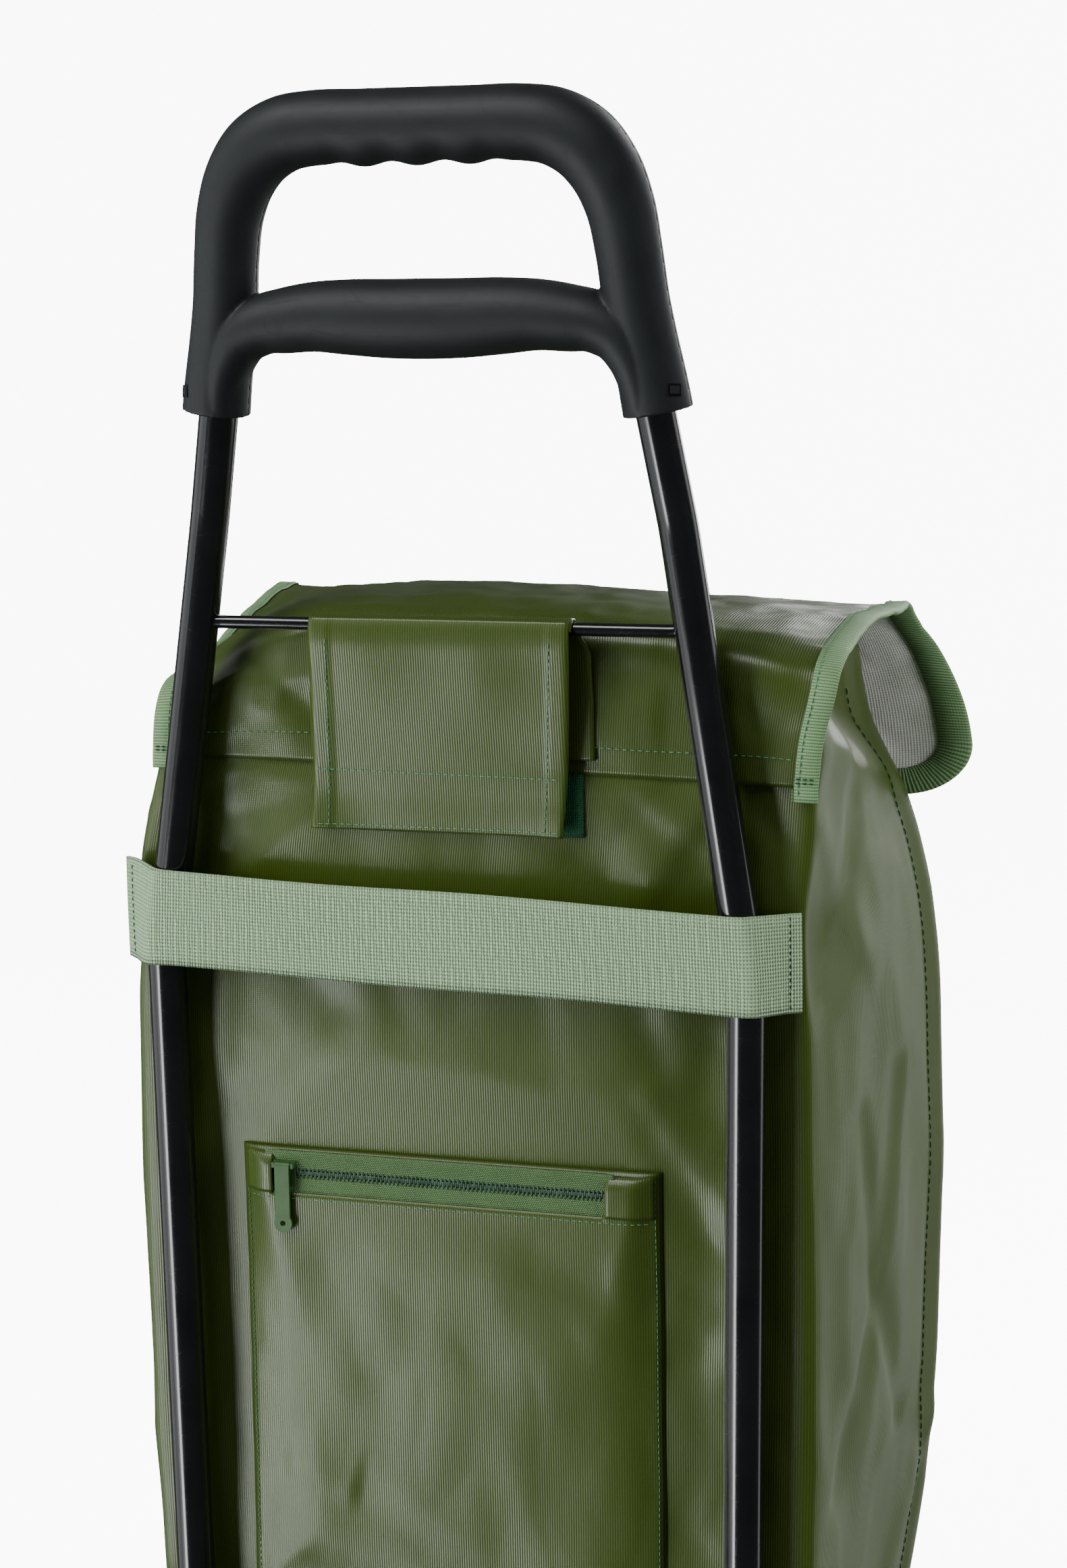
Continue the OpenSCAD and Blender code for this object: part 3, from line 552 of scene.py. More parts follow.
co = np.zeros(len(raw.data.vertices) * 3)
raw.data.vertices.foreach_get("co", co)
H = handle_frame(co.reshape(-1, 3))
nr = np.zeros(len(raw.data.vertices) * 3)
raw.data.vertex_normals.foreach_get("vector", nr)
up_n = nr.reshape(-1, 3)[:, 2]
wave_at = np.exp(-((np.abs(H[:, 0]) / 47.0) ** 10))
wave = wave_at * (np.cos(H[:, 0] * 2 * math.pi / 27.2) * 1.3 + 0.4)
lower_face = np.clip(-up_n - 0.15, 0, 1) ** 0.7 * (np.abs(H[:, 1] - v_of(TOP_Z)) < 24)
H[:, 1] -= wave * lower_face
belly = np.exp(-(H[:, 0] / 60.0) ** 4) * 0.3
H[:, 1] -= belly * np.clip(-up_n, 0, 1) * (np.abs(H[:, 1] - v_of(GRIP_Z)) < 24)
raw.data.vertices.foreach_set("co", on_handle(H).ravel())
raw.data.update()

plane_point, plane_normal = on_handle([0, 0, 0]), on_handle([0, 0, 1]) - on_handle([0, 0, 0])
plane_normal = plane_normal / np.linalg.norm(plane_normal)
for label, sign in (("rear", -1), ("front", 1)):
    o = raw.copy()
    o.data = raw.data.copy()
    o.name = "handle_" + label + "_half"
    scene.collection.objects.link(o)
    bm = bmesh.new()
    bm.from_mesh(o.data)
    cut = bmesh.ops.bisect_plane(bm, geom=bm.verts[:] + bm.edges[:] + bm.faces[:], plane_co=plane_point,
                                 plane_no=plane_normal * -sign, clear_outer=True)
    rim = [e for e in cut["geom_cut"] if isinstance(e, bmesh.types.BMEdge)]
    rim_verts = {v for e in rim for v in e.verts}
    for v in rim_verts:
        v.co -= v.normal * 0.28 * MM
        v.co += Vector(plane_normal) * sign * 0.05 * MM
    bmesh.ops.triangle_fill(bm, edges=rim, use_beauty=True)
    bm.to_mesh(o.data)
    bm.free()
    o.data.polygons.foreach_set("use_smooth", [True] * len(o.data.polygons))
    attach(o, "root")
    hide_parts("handle_" + label + "_shell")
bpy.data.objects.remove(raw)

# ---------------------------------------------------------------- bag shell
FLOOR, MOUTH = 25.3, 615.3
BACK = 12.0


def bump(v, centre, width):
    return np.exp(-((v - centre) / width) ** 2)


def crease(x, z, a, b, wide, deep):
    """A soft crease between points a and b: negative is inwards."""
    ax, az = b[0] - a[0], b[1] - a[1]
    length = math.hypot(ax, az)
    t = ((x - a[0]) * ax + (z - a[1]) * az) / length**2
    d = ((x - a[0]) * az - (z - a[1]) * ax) / length
    end = np.clip(t * 6 + 0.5, 0, 1) * np.clip((1 - t) * 6 + 0.5, 0, 1)
    side = np.where(d > 0, np.exp(-(d / wide) ** 2), np.exp(-(d / (wide * 2.2)) ** 2))
    return deep * side * ease(end)


def creases(x, z, rows):
    """Creases of a table: each row is one end, the other end, the width and the depth, in mm."""
    return sum(crease(x, z, *row) for row in rows)


BACK_CREASES = (
    ((-60, 405), (-170, 520), 9, 1.6), ((-70, 520), (-165, 440), 7, -1.5), ((60, 500), (150, 425), 10, 1.5),
    ((95, 540), (165, 470), 7, -1.3), ((115, 120), (135, 400), 12, 1.5), ((-135, 60), (-128, 330), 10, 1.4),
    ((100, 470), (160, 575), 7, -2.2), ((128, 560), (182, 500), 6, 2.2), ((-180, 500), (-120, 560), 7, -2.0),
    ((100, 380), (150, 300), 8, -2.0))
SIDE_CREASES = (
    ((95, 250), (70, 360), 7, -2.6), ((95, 250), (135, 370), 7, -2.8), ((95, 250), (30, 150), 8, -3.0),
    ((95, 250), (140, 160), 7, -2.6), ((20, 415), (120, 560), 12, -3.0), ((10, 520), (90, 420), 8, 2.2),
    ((150, 60), (205, 150), 8, 2.6))
FLAP_CREASES = (
    ((-150, 20), (-40, 75), 8, 3.0), ((-130, 60), (-70, 10), 7, -2.4), ((60, 15), (160, 60), 9, 1.6),
    ((100, 70), (170, 20), 8, -1.8), ((30, 330), (110, 390), 12, 3), ((-140, 330), (-30, 395), 12, 3))
POCKET_CREASES = (
    ((-20, 130), (70, 260), 30, -1.4), ((-100, 160), (-60, 150), 8, -1.0), ((-100, 290), (-20, 300), 8, 0.6))


tube_path = lean_of(tube_line(1))


def tube_x(z):
    return np.interp(z, tube_path[:, 2], tube_path[:, 0])


def crumple(p, size, seed):
    """Stiff cloth's wrinkles: soft swells that meet in sharp ridges."""
    return 0.35 - np.abs(smooth_noise(p, size, seed))


def back_surface(x, z):
    """How far the back panel stands from its plane, in mm, towards the bag's inside."""
    x, z = np.broadcast_arrays(np.asarray(x, float), np.asarray(z, float))
    p = xyz(x, z * 0.55, 0)
    d = 1.5 * smooth_noise(p, 85, 1) + 0.75 * smooth_noise(p, 34, 2)
    mid = np.clip(1 - np.abs(x) / 125, 0, 1)
    d += -(1 - (1 - mid) ** 2) * (5.2 * bump(z, 240, 230) + 1.6 * bump(z, 520, 50))
    d += 2.4 * bump(z, 455, 24) * np.clip(1 - np.abs(np.abs(x) - 145) / 60, 0, 1)
    d += creases(x, z, BACK_CREASES)
    side_on = np.clip((np.abs(x) - 70) / 60, 0, 1)
    d += (1.0 + 3.0 * side_on * (0.35 + bump(z, 500, 90) + 0.5 * bump(z, 330, 70))) * crumple(p, 46, 3)
    d += (0.35 + 1.2 * side_on) * crumple(p, 21, 6)
    behind_zip = np.clip((150 - np.abs(x + 6.5)) / 40, 0, 1) * np.clip((110 - np.abs(z - 322)) / 90, 0, 1)
    return np.maximum(d, -7 + np.maximum(7.5 * np.clip((z - 505) / 40, 0, 1), 6.6 * behind_zip))


def section(z):
    """Corners of the bag at height z: rear left, rear right, front right, front left x, and front y."""
    zs = [25, 60, 123, 230, 327, 438, 474, 525, 568, 600, 616]
    rl = [-171, -176, -179.5, -181.5, -182, -180.5, -178.5, -170, -163, -161, -160]
    rr = [180, 183, 184.5, 186.5, 187.5, 187, 186.5, 189, 192, 193, 193]
    fr = [184, 190, 197, 203, 205, 200, 194, 178, 169, 166, 165]
    fl = [-180, -186, -193, -198, -200, -198, -196, -190, -182, -176, -172]
    fy = [228, 232, 236, 239, 239, 234, 230, 226, 223, 220, 219]
    return [hermite(zs, v, np.atleast_1d(z)) for v in (rl, rr, fr, fl, fy)]


def bag_point(part, u, z):
    """Points of the bag shell: part 0 back, 1 right side, 2 front, 3 left side; u from 0 to 1 along it."""
    rl, rr, fr, fl, fy = section(z)
    if part == 0:
        x = rl + (rr - rl) * u
        y = BACK + back_surface(x, z) * np.clip(np.minimum(u, 1 - u) * 14, 0, 1)
        off = np.abs(np.abs(x) - tube_x(z))
        clear = TUBE_R + 0.6
        y = np.where(off < clear, np.maximum(y, np.sqrt(np.clip(clear**2 - off**2, 0, None))), y)
        return np.stack([x, y, z], -1)
    if part == 2:
        x = fr + (fl - fr) * u
        p = xyz(x, z * 0.6, 400)
        y = fy + 6 * np.sin(math.pi * u) * bump(z, 250, 200) + 2.0 * smooth_noise(p, 90, 4)
        y += 0.8 * smooth_noise(p, 35, 5)
        return np.stack([x, y, z], -1)
    a, b = (rr, fr) if part == 1 else (fl, rl)
    sign = 1 if part == 1 else -1
    v = u if part == 1 else 1 - u
    y = BACK + (fy - BACK) * v
    x = a + (b - a) * u
    s = v * 220
    arch = np.sin(math.pi * np.clip(v, 0, 1))
    bulge = 5.0 * arch**0.8 * bump(z, 300, 250)
    bulge += 4.5 * bump(v, 0.935, 0.045) * bump(z, 290, 330) - 2.2 * bump(v, 0.865, 0.018)
    bulge -= 3.5 * bump(z, 455, 30) * bump(v, 0.12, 0.2)
    above = np.clip((z - (572 - 62 * np.clip(v, 0, 1))) / 46, 0, 1)
    bulge -= 17 * ease(above) * arch**0.6
    bulge += 3.0 * bump(z, 566 - 62 * v, 14) * arch**0.6
    p = xyz(s, z * 0.5, 200 * part)
    bulge += 2.2 * smooth_noise(p, 80, 7) + 0.9 * smooth_noise(p, 30, 8)
    bulge += (2.0 + 1.6 * bump(z, 200, 150)) * crumple(p, 52, 13) + 0.8 * crumple(p, 24, 14)
    bulge += creases(s, z, SIDE_CREASES)
    return np.stack([x + sign * bulge, y, z], -1)


def bag_loop(z):
    """One closed loop of the bag's outer face at height z."""
    pts = []
    for part, count in ((0, 104), (1, 62), (2, 60), (3, 50)):
        u = (np.arange(count) + 0.5) / count
        pts.append(bag_point(part, u, np.full(count, z)))
    return np.concatenate(pts)


rows = 170
zz = np.linspace(FLOOR + 1, MOUTH, rows)
P = np.stack([bag_loop(z) for z in zz])
for _ in range(2):
    P = 0.5 * P + 0.25 * (np.roll(P, 1, axis=1) + np.roll(P, -1, axis=1))
lx, ly = P[-1, :, 0], np.clip((P[-1, :, 1] - BACK) / 210, 0, 1)
right_cut = hermite([0, 0.5, 1], [32, 26, 36], ly)
left_cut = hermite([0, 0.5, 1], [58, 48, 34], ly)
centre_cut = 15 + 18 * ly
to_right, to_left = np.clip((lx - 90) / 95, 0, 1) ** 1.5, np.clip((-lx - 70) / 95, 0, 1) ** 1.5
mouth_cut = centre_cut + np.where(lx > 0, (right_cut - centre_cut) * to_right,
                                  (left_cut - centre_cut) * to_left)
k = np.clip((zz - 480) / (MOUTH - 480), 0, 1)[:, None] ** 1.6
P[:, :, 2] -= k * mouth_cut
run_u = run_along(P[rows // 2])
uv = np.stack(np.broadcast_arrays(run_u[None] * MM, zz[:, None] * MM), -1)
bag = mesh_object("bag_shell", leaned(P), quads(rows, P.shape[1], closed=True), [CANVAS, REVERSE], uv=uv)
thicken(bag, 1.2, offset=-1, reverse=1)
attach(bag, "root")
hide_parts("bag_back_panel", "bag_front_panel", "bag_left_side", "bag_right_side", "bag_bottom_panel")
ring = leaned(P[0])
centre = ring.mean(0)
rings = [centre + (ring - centre) * t for t in (1.0, 0.985, 0.9, 0.7, 0.4, 0.05)]
rings[1:] = [r - np.array([0, 0, 1.5 * MM * (i > 0)]) for i, r in enumerate(rings[1:])]
B = np.stack(rings)
bottom = mesh_object("bag_bottom", B, quads(len(rings), B.shape[1], closed=True, flip=True),
                     [CANVAS, REVERSE], uv=B[..., :2])
thicken(bottom, 1.2, offset=-1, reverse=1)
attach(bottom, "root")


def bvh_of(mesh):
    bm = bmesh.new()
    bm.from_mesh(mesh)
    tree = BVHTree.FromBMesh(bm)
    bm.free()
    return tree


def snap(points, tree, lift):
    """Points moved to the nearest place on a surface, lift mm above it, and the normals there."""
    out, normals = [], []
    for p in np.asarray(points, float).reshape(-1, 3):
        co, n, _, _ = tree.find_nearest(Vector(p))
        out.append(np.array(co) + np.array(n) * lift * MM)
        normals.append(np.array(n))
    shape = np.asarray(points).shape
    return np.array(out).reshape(shape), np.array(normals).reshape(shape)


def loop_patch(name, x, z, y, thick, flip=False):
    """Loop tape on the bag over the grid x, z in the leaned frame, found from the side where y lies."""
    p = snap(leaned(xyz(x, y, z)), bag_tree, 0.1)[0]
    o = mesh_object(name, p, quads(*x.shape, flip=flip), [HOOKS], uv=np.stack([x, z], -1) * MM)
    thicken(o, thick, offset=1)
    return o


def block_on(place, out_dir, up_dir, size, base):
    """Corners and faces of a block whose size is (across, up, out) in mm, standing base mm off a surface."""
    n = np.asarray(out_dir) / np.linalg.norm(out_dir)
    side_dir = np.cross(up_dir, n)
    side_dir /= np.linalg.norm(side_dir)
    up = np.cross(n, side_dir)
    w, h, d = np.array(size) / 2
    v = [place + (side_dir * x * w + up * y * h + n * (base + d * (1 + z))) * MM
         for z in (-1, 1) for x, y in ((-1, -1), (1, -1), (1, 1), (-1, 1))]
    return v, [(3, 2, 1, 0), (4, 5, 6, 7)] + [(k, (k + 1) % 4, 4 + (k + 1) % 4, 4 + k) for k in range(4)]


handle_tree = bvh_of(bpy.data.objects["handle_rear_half"].data)
verts, faces, tints = [], [], []
for side in (-1, 1):
    axis = on_handle([side * 114.8, v_of(803.5), 0])
    q, n = snap([axis + np.array([side * 15.2, -12.6, 0]) * MM], handle_tree, 0)
    # first block: a near-black plate of painted shade for the opening round the latch end; second block: the
    # latch end itself
    for size, base, tint in (((7.6, 6.4, 0.5), -0.25, 0), ((5.2, 3.9, 1.2), -0.5, 1)):
        v, f = block_on(q[0], n[0], (0, 0, 1), size, base)
        faces += [tuple(i + len(verts) for i in quad) for quad in f]
        tints += [tint] * len(f)
        verts += v
latches = mesh_object("snap_latch_ends", verts, faces, [GAP_SHADE, HANDLE], face_mat=tints, smooth=False)
b = latches.modifiers.new("softened", "BEVEL")
b.width, b.segments = 0.3 * MM, 2
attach(latches, "root")
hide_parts("snap_latches")

# ---------------------------------------------------------------- seams of the bag
outer_only = bpy.data.meshes.new("outer_only")
outer_only.from_pydata([tuple(v) for v in leaned(P).reshape(-1, 3)], [],
                       [tuple(int(i) for i in f) for f in quads(rows, P.shape[1], closed=True)])
bag_tree = bvh_of(outer_only)
seam_runs = []
for part, v in ((1, 0.865), (3, 0.135)):
    z = np.linspace(40, 560, 160)
    raw_pts = leaned(bag_point(part, np.full(len(z), v), z))
    seam_runs.append(snap(raw_pts, bag_tree, 0.15))
o = stitches("bag_seam_thread", seam_runs, DARK_THREAD, "root", length=3.6, gap=1.6, width=0.7)

# ---------------------------------------------------------------- flap: one sheet, back seam to front hem
knots = [0, 25, 50, 70, 82, 95, 125, 165, 205, 245, 280, 298, 312, 330, 350, 375, 404]
FLAP_W, FLAP_L, CORNER = 190.0, 404.0, 32.0
GUIDE_A = np.array([-190, -110, 0, 110, 190.0])
# each guide: x, y and z of the sheet at every knot, at one place across it
G = np.array([
    [(-166, -16, 615), (-164, -17, 636), (-165, -6, 650), (-167, 12, 654), (-168, 26, 656),
     (-169, 40, 658), (-172, 70, 663), (-176, 108, 673), (-179, 140, 682), (-181, 172, 689),
     (-183, 197, 692), (-186, 206, 684), (-191, 210, 672), (-197, 213, 655), (-203, 215, 636),
     (-206, 217, 612), (-207, 219, 584)],
    [(-94, -17, 614), (-95, -18.6, 639), (-96, -19.6, 662), (-97, -17, 679), (-98, -8, 687),
     (-99, 6, 691), (-100, 36, 694), (-102, 76, 696), (-104, 114, 697), (-105, 152, 696.5),
     (-106, 186, 693), (-107, 203, 686), (-108, 209, 675), (-110, 212, 657), (-111, 214, 637),
     (-112, 215, 612), (-112, 216, 583)],
    [(12, -17, 613), (12, -18.6, 638), (11, -19.8, 663), (11, -19.5, 682), (10, -13, 692),
     (10, -1, 697), (9, 28, 701), (8, 67, 702), (7, 107, 700.5), (6, 147, 697.5), (5, 184, 692),
     (5, 201, 685), (5, 208, 674), (5, 211, 656), (5, 213, 636), (4, 214, 612), (4, 215, 583)],
    [(117, -17, 611), (119, -18.7, 636), (121, -19.6, 661), (121, -17.5, 679), (120, -9, 686),
     (120, 4, 689.5), (119, 34, 693), (118, 73, 695), (116, 112, 694.5), (114, 150, 692.5),
     (112, 185, 688.5), (112, 202, 683), (113, 208, 673), (115, 211, 656), (117, 213, 636),
     (118, 215, 611), (118, 216, 583)],
    [(190, -17, 609), (193, -18.5, 632), (199, -19.5, 655), (200.5, -12, 669), (201, 2, 676.5),
     (200.5, 16, 680), (200, 50, 685.5), (198.5, 90, 688), (196.5, 130, 688.5), (193, 168, 688.5),
     (190, 194, 687), (192, 204, 678), (201, 208, 666), (210, 210, 650), (217, 212, 632),
     (221, 214, 610), (222, 215, 582)],
], float)


def flap_point(a, s):
    """World metres of the flap's outer face at a mm across and s mm along the sheet."""
    a, s = np.broadcast_arrays(np.asarray(a, float), np.asarray(s, float))
    shape = a.shape
    a, s = a.ravel(), s.ravel()
    along = np.stack([hermite(knots, G[i], np.clip(s, 0, FLAP_L)) for i in range(5)])
    slope = np.gradient(along, GUIDE_A, axis=0)
    i = np.clip(np.searchsorted(GUIDE_A, a, side="right") - 1, 0, 3)
    n = np.arange(len(a))
    h = (GUIDE_A[i + 1] - GUIDE_A[i])[:, None]
    t = (a - GUIDE_A[i])[:, None] / h
    q = between(t, h, along[i, n], slope[i, n], along[i + 1, n], slope[i + 1, n])
    q[:, 2] -= np.clip(-s, 0, 20)
    w = xyz(a, s, 900)
    out = 1.9 * smooth_noise(w, 70, 11) + 0.8 * smooth_noise(w * np.array([1, 0.6, 1]), 26, 12)
    out += 2.2 * crumple(w, 44, 15) + 1.0 * crumple(w, 20, 16)
    out *= np.clip(s / 30, 0.25, 1)
    pucker = np.exp(-((s - 12) / 11) ** 2)
    out += pucker * 1.1 * np.sin(a * 0.16 + 1.5 * np.sin(a * 0.031)) * (0.3 + 0.7 * bump(a, -95, 45))
    out += creases(a, s, FLAP_CREASES)
    top = (s > 82) & (s < 300)
    q[:, 2] += np.where(top, out, 0)
    q[:, 1] += np.where(s >= 300, out, 0) - np.where(s <= 82, out * 0.7, 0)
    P3 = upright(np.stack([q[:, 0], q[:, 1] - 1.24, q[:, 2]], -1))
    L3 = lean_of(P3)
    near = np.clip(1 - (np.abs(np.abs(L3[:, 0]) - 128) - 14) / 8, 0, 1) * (s < 95)
    L3[:, 1] += np.maximum(10.7 - L3[:, 1], 0) * near
    L3[:, 1] += np.maximum(9.4 - L3[:, 1], 0) * (s < 95)
    return leaned(L3).reshape(shape + (3,))


def flap_normals(a, s):
    d = 1.5
    du = flap_point(a + d, s) - flap_point(a - d, s)
    dv = flap_point(a, s + d) - flap_point(a, np.asarray(s) - d)
    return unit(np.cross(du, dv))


def on_flap(a, s, lift):
    """Points lift mm above the flap's outer face, and the normals there."""
    n = flap_normals(a, s)
    return flap_point(a, s) + n * lift * MM, n


def half_width(s):
    over = np.clip((s - (FLAP_L - CORNER)) / CORNER, 0, 1)
    return FLAP_W - CORNER + CORNER * np.sqrt(np.maximum(1 - over**2, 0))


step = 3.0
s_rows = np.r_[np.arange(0, FLAP_L - CORNER, step),
               FLAP_L - CORNER + CORNER * np.sin(np.linspace(0, math.pi / 2, 14))]
n_cols = int(2 * FLAP_W / step)
tt = np.linspace(-1, 1, n_cols)
A = half_width(s_rows)[:, None] * tt[None]
SS = np.broadcast_to(s_rows[:, None], A.shape)
FP = flap_point(A, SS)
flap = mesh_object("flap", FP, quads(*A.shape), [CANVAS, REVERSE], uv=np.stack([A, SS], -1) * MM)
thicken(flap, 1.2, offset=-1, reverse=1)
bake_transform(flap)
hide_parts("flap_rear_leaf", "flap_lid_leaf")


def flap_edge(inset, tail):
    """Flat places (a, s) along the flap's edge, inset mm inside it, from the left seam to the right."""
    spacing, r = 2.5, CORNER - inset
    w, l = FLAP_W - inset, FLAP_L - inset
    n_side = int((FLAP_L - CORNER + tail) / spacing)
    side = np.linspace(-tail, FLAP_L - CORNER, n_side)
    arc = np.linspace(0, math.pi / 2, 18)[1:-1]
    hem = np.linspace(-(FLAP_W - CORNER), FLAP_W - CORNER, int(2 * (FLAP_W - CORNER) / spacing))
    left = np.stack([np.full(n_side, -w), side], -1)
    c1 = np.stack([-(FLAP_W - CORNER) - r * np.cos(arc), FLAP_L - CORNER + r * np.sin(arc)], -1)
    mid = np.stack([hem, np.full(len(hem), l)], -1)
    c2 = np.stack([-c1[::-1, 0], c1[::-1, 1]], -1)
    right = np.stack([np.full(n_side, w), side[::-1]], -1)
    return np.concatenate([left, c1, mid, c2, right])


profile = [(12.0, 0.5), (11.4, 1.0), (6.0, 1.05), (0.8, 1.0), (-0.5, 0.1), (-0.7, -0.6), (-0.5, -1.3),
           (0.8, -2.2), (7.0, -2.25), (13.4, -2.2), (14.0, -1.6)]
edge_rows = []
for inset, lift in profile:
    e = flap_edge(max(inset, 0), tail=7).T
    out = on_flap(*e, lift)[0]
    if inset < 0:
        out = out - unit(flap_point(*e) - flap_point(*flap_edge(4.0, tail=7).T)) * inset * MM
    edge_rows.append(out)
E = np.stack(edge_rows)
across_run = run_along(np.array(profile)) * MM
buv = np.stack(np.broadcast_arrays(run_along(E[0])[None], across_run[:, None]), -1)
binding = mesh_object("flap_binding", E, quads(*E.shape[:2], flip=True), [BINDING], uv=buv)
thicken(binding, 0.5, offset=0)
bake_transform(binding)
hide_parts("lid_binding", "rear_binding")

edge_run = on_flap(*flap_edge(9.6, tail=4).T, 1.35)
thread1 = stitches("flap_binding_thread", [edge_run], THREAD, None, length=2.6, gap=1.0, width=0.5)
a = np.linspace(-FLAP_W + 14, FLAP_W - 14, 200)
seam_run = on_flap(a, 14.5 + 0.6 * np.sin(a * 0.05), 0.15)
thread2 = stitches("flap_seam_thread", [seam_run], THREAD, None, length=2.9, gap=1.1, width=0.55)
ends = []
for sign in (-1, 1):
    a = np.linspace(sign * (FLAP_W - 12), sign * (FLAP_W - 1), 12)
    ends += [on_flap(a, s, 1.4) for s in (3.0, 5.2)]
thread3 = stitches("flap_end_thread", ends, DARK_THREAD, None, length=2.4, gap=0.3, width=0.8)
for o in (thread1, thread2, thread3):
    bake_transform(o)
hook_a, hook_s = grid(-50, 50, 30, FLAP_L - 46, FLAP_L - 20, 9)
hook = mesh_object("flap_hook_patch", on_flap(hook_a, hook_s, -1.3)[0], quads(*hook_a.shape, flip=True),
                   [HOOKS], uv=np.stack([hook_a, hook_s], -1) * MM)
thicken(hook, 1.3, offset=1)
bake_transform(hook)
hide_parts("lid_hook_tape")
loop = loop_patch("front_loop_patch", *grid(-50, 50, 26, 516, 542, 9), 240, 1.3, flip=True)
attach(loop, "root")
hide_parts("front_loop_tape")

# ---------------------------------------------------------------- webbing round the side tubes
WEB_Z, WEB_W = 453, 50


def web_fall(x):
    """How far the webbing drops from its height at the middle: it hangs a little lower on the right."""
    return 5.5 * x / 180


def webbing_grid(rows_n, cols_n):
    out = []
    for h in np.linspace(-WEB_W / 2, WEB_W / 2, rows_n):
        tx = float(tube_x(WEB_Z + h)) + 0.3
        r = TUBE_R + 1.5
        arc = [(tx + r * math.sin(t), -r * math.cos(t)) for t in np.linspace(0, math.radians(50), 12)]
        half = [(tx - 18, -r + 0.25)] + arc + [(176, 5.2), (182.5, 10.0)]
        line = [(-x, y) for x, y in half[::-1]] + [(-70, -r + 1.2), (0, -r + 1.7), (70, -r + 1.2)] + half
        q = resample([(x, y, 0) for x, y in line], 0.5)
        q = q[np.linspace(0, len(q) - 1, cols_n).astype(int)]
        z = WEB_Z + h - web_fall(q[:, 0]) + 0.5 * np.sin(q[:, 0] * 0.03 + h * 0.02)
        z += 2.0 * bump(q[:, 0], -175, 14) * (h / 25)
        y = q[:, 1] + 0.5 * np.sin(q[:, 0] * 0.045 + h * 0.06)
        out.append(np.stack([q[:, 0], y, z], -1))
    return np.stack(out)


WG = webbing_grid(12, 320)
wr = run_along(WG[6])
wuv = np.stack(np.broadcast_arrays(np.linspace(0, WEB_W, 12)[:, None], wr[None]), -1) * MM
web = mesh_object("webbing_band", leaned(WG), quads(12, 320), [WEBBING], uv=wuv)
thicken(web, 1.5, offset=0)
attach(web, "root")
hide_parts("webbing_strap")
web_tree = bvh_of(web.data)
runs = []
for x in (-178.5, -166, 167.5, 179.3):
    z = np.linspace(WEB_Z - 24 - web_fall(x), WEB_Z + 24 - web_fall(x), 26)
    runs.append(snap(leaned(xyz(x, 4.0, z)), web_tree, 0.1))
web_thread = stitches("webbing_thread", runs, DARK_THREAD, "root", length=2.2, gap=1.2, width=0.55)

# ---------------------------------------------------------------- hanging strap over the rod
ROD_Z, ROD_R = 612.0, 3.4


def softened(q):
    """Running mean of five, with the ends kept where they are."""
    before, after = [2 * q[0] - q[2], 2 * q[0] - q[1]], [2 * q[-1] - q[-2], 2 * q[-1] - q[-3]]
    return np.convolve(np.r_[before, q, after], np.ones(5) / 5, "valid")


def strap_sheet(path, left, right, cols_n, seed, waves):
    """Sheet along path (y, z) in the leaned frame, from left to right edges given per point."""
    path = np.asarray(path, float)
    d = run_along(path)
    at = np.linspace(0, d[-1], int(d[-1] / 1.5))
    y, z = softened(np.interp(at, d, path[:, 0])), softened(np.interp(at, d, path[:, 1]))
    l, r = np.interp(at, d, left), np.interp(at, d, right)
    t = np.linspace(0, 1, cols_n)
    X = l[:, None] + (r - l)[:, None] * t
    n = smooth_noise(xyz(X, at[:, None], seed * 50), 45, seed)
    return xyz(X, y[:, None] - waves * n, z[:, None]), at


hang_r = ROD_R + 1.7
fold_arc = [(hang_r * math.cos(t), ROD_Z + hang_r * math.sin(t))
            for t in np.linspace(math.radians(-10), math.pi, 16)]
inner_path = [(9.0, 545), (8.6, 575), (7.2, 600)] + fold_arc + [(-hang_r, ROD_Z - 1)]
inner_right = [77, 77, 76] + [70] * (len(inner_path) - 3)
IN, at = strap_sheet(inner_path, [-68] * len(inner_path), inner_right, 60, 21, 0.15)
strap_in = mesh_object("hanging_strap_inner", leaned(IN), quads(*IN.shape[:2], flip=True), [CANVAS, CANVAS],
                       uv=xyz(IN[..., 0], at[:, None], 0)[..., :2] * MM)
thicken(strap_in, 1.6, offset=0)
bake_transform(strap_in)
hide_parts("hanger_inner_leaf")
out_path = [(-hang_r + 1.5, ROD_Z + 4), (-hang_r - 0.3, ROD_Z + 0.5), (-hang_r - 0.6, ROD_Z - 8), (-3.2, 585),
            (0.2, 560), (3.0, 540), (4.8, 524), (5.6, 506)]
OUT, at = strap_sheet(out_path, [-69, -69, -69.5, -70, -71, -72, -73, -74.5],
                      [69, 69, 69, 68, 66.5, 65, 63.5, 61.5], 70, 22, 0.9)
low_down = np.clip((540 - OUT[..., 2]) / 34, 0, 1)
OUT[..., 1] -= np.clip((OUT[..., 0] - 30) / 32, 0, 1) ** 2 * low_down * 3.0
OUT[..., 1] -= np.clip((-OUT[..., 0] - 40) / 34, 0, 1) ** 2 * low_down * 1.5
hem = np.minimum(OUT[..., 0] - OUT[:, :1, 0], OUT[:, -1:, 0] - OUT[..., 0])
OUT[..., 1] -= 0.5 * np.clip(hem / 1.2, 0, 1) * np.clip((11.5 - hem) / 0.8, 0, 1)
strap_out = mesh_object("hanging_strap_leaf", leaned(OUT), quads(*OUT.shape[:2], flip=True), [CANVAS, CANVAS],
                        uv=xyz(OUT[..., 0], at[:, None], 0)[..., :2] * MM)
thicken(strap_out, 2.2, offset=0)
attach(strap_out, "hanger_leaf")
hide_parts("hanger_outer_leaf")
leaf_tree = bvh_of(strap_out.data)
inward = Vector(leaned([0, 1, 0]) - leaned([0, 0, 0])).normalized()


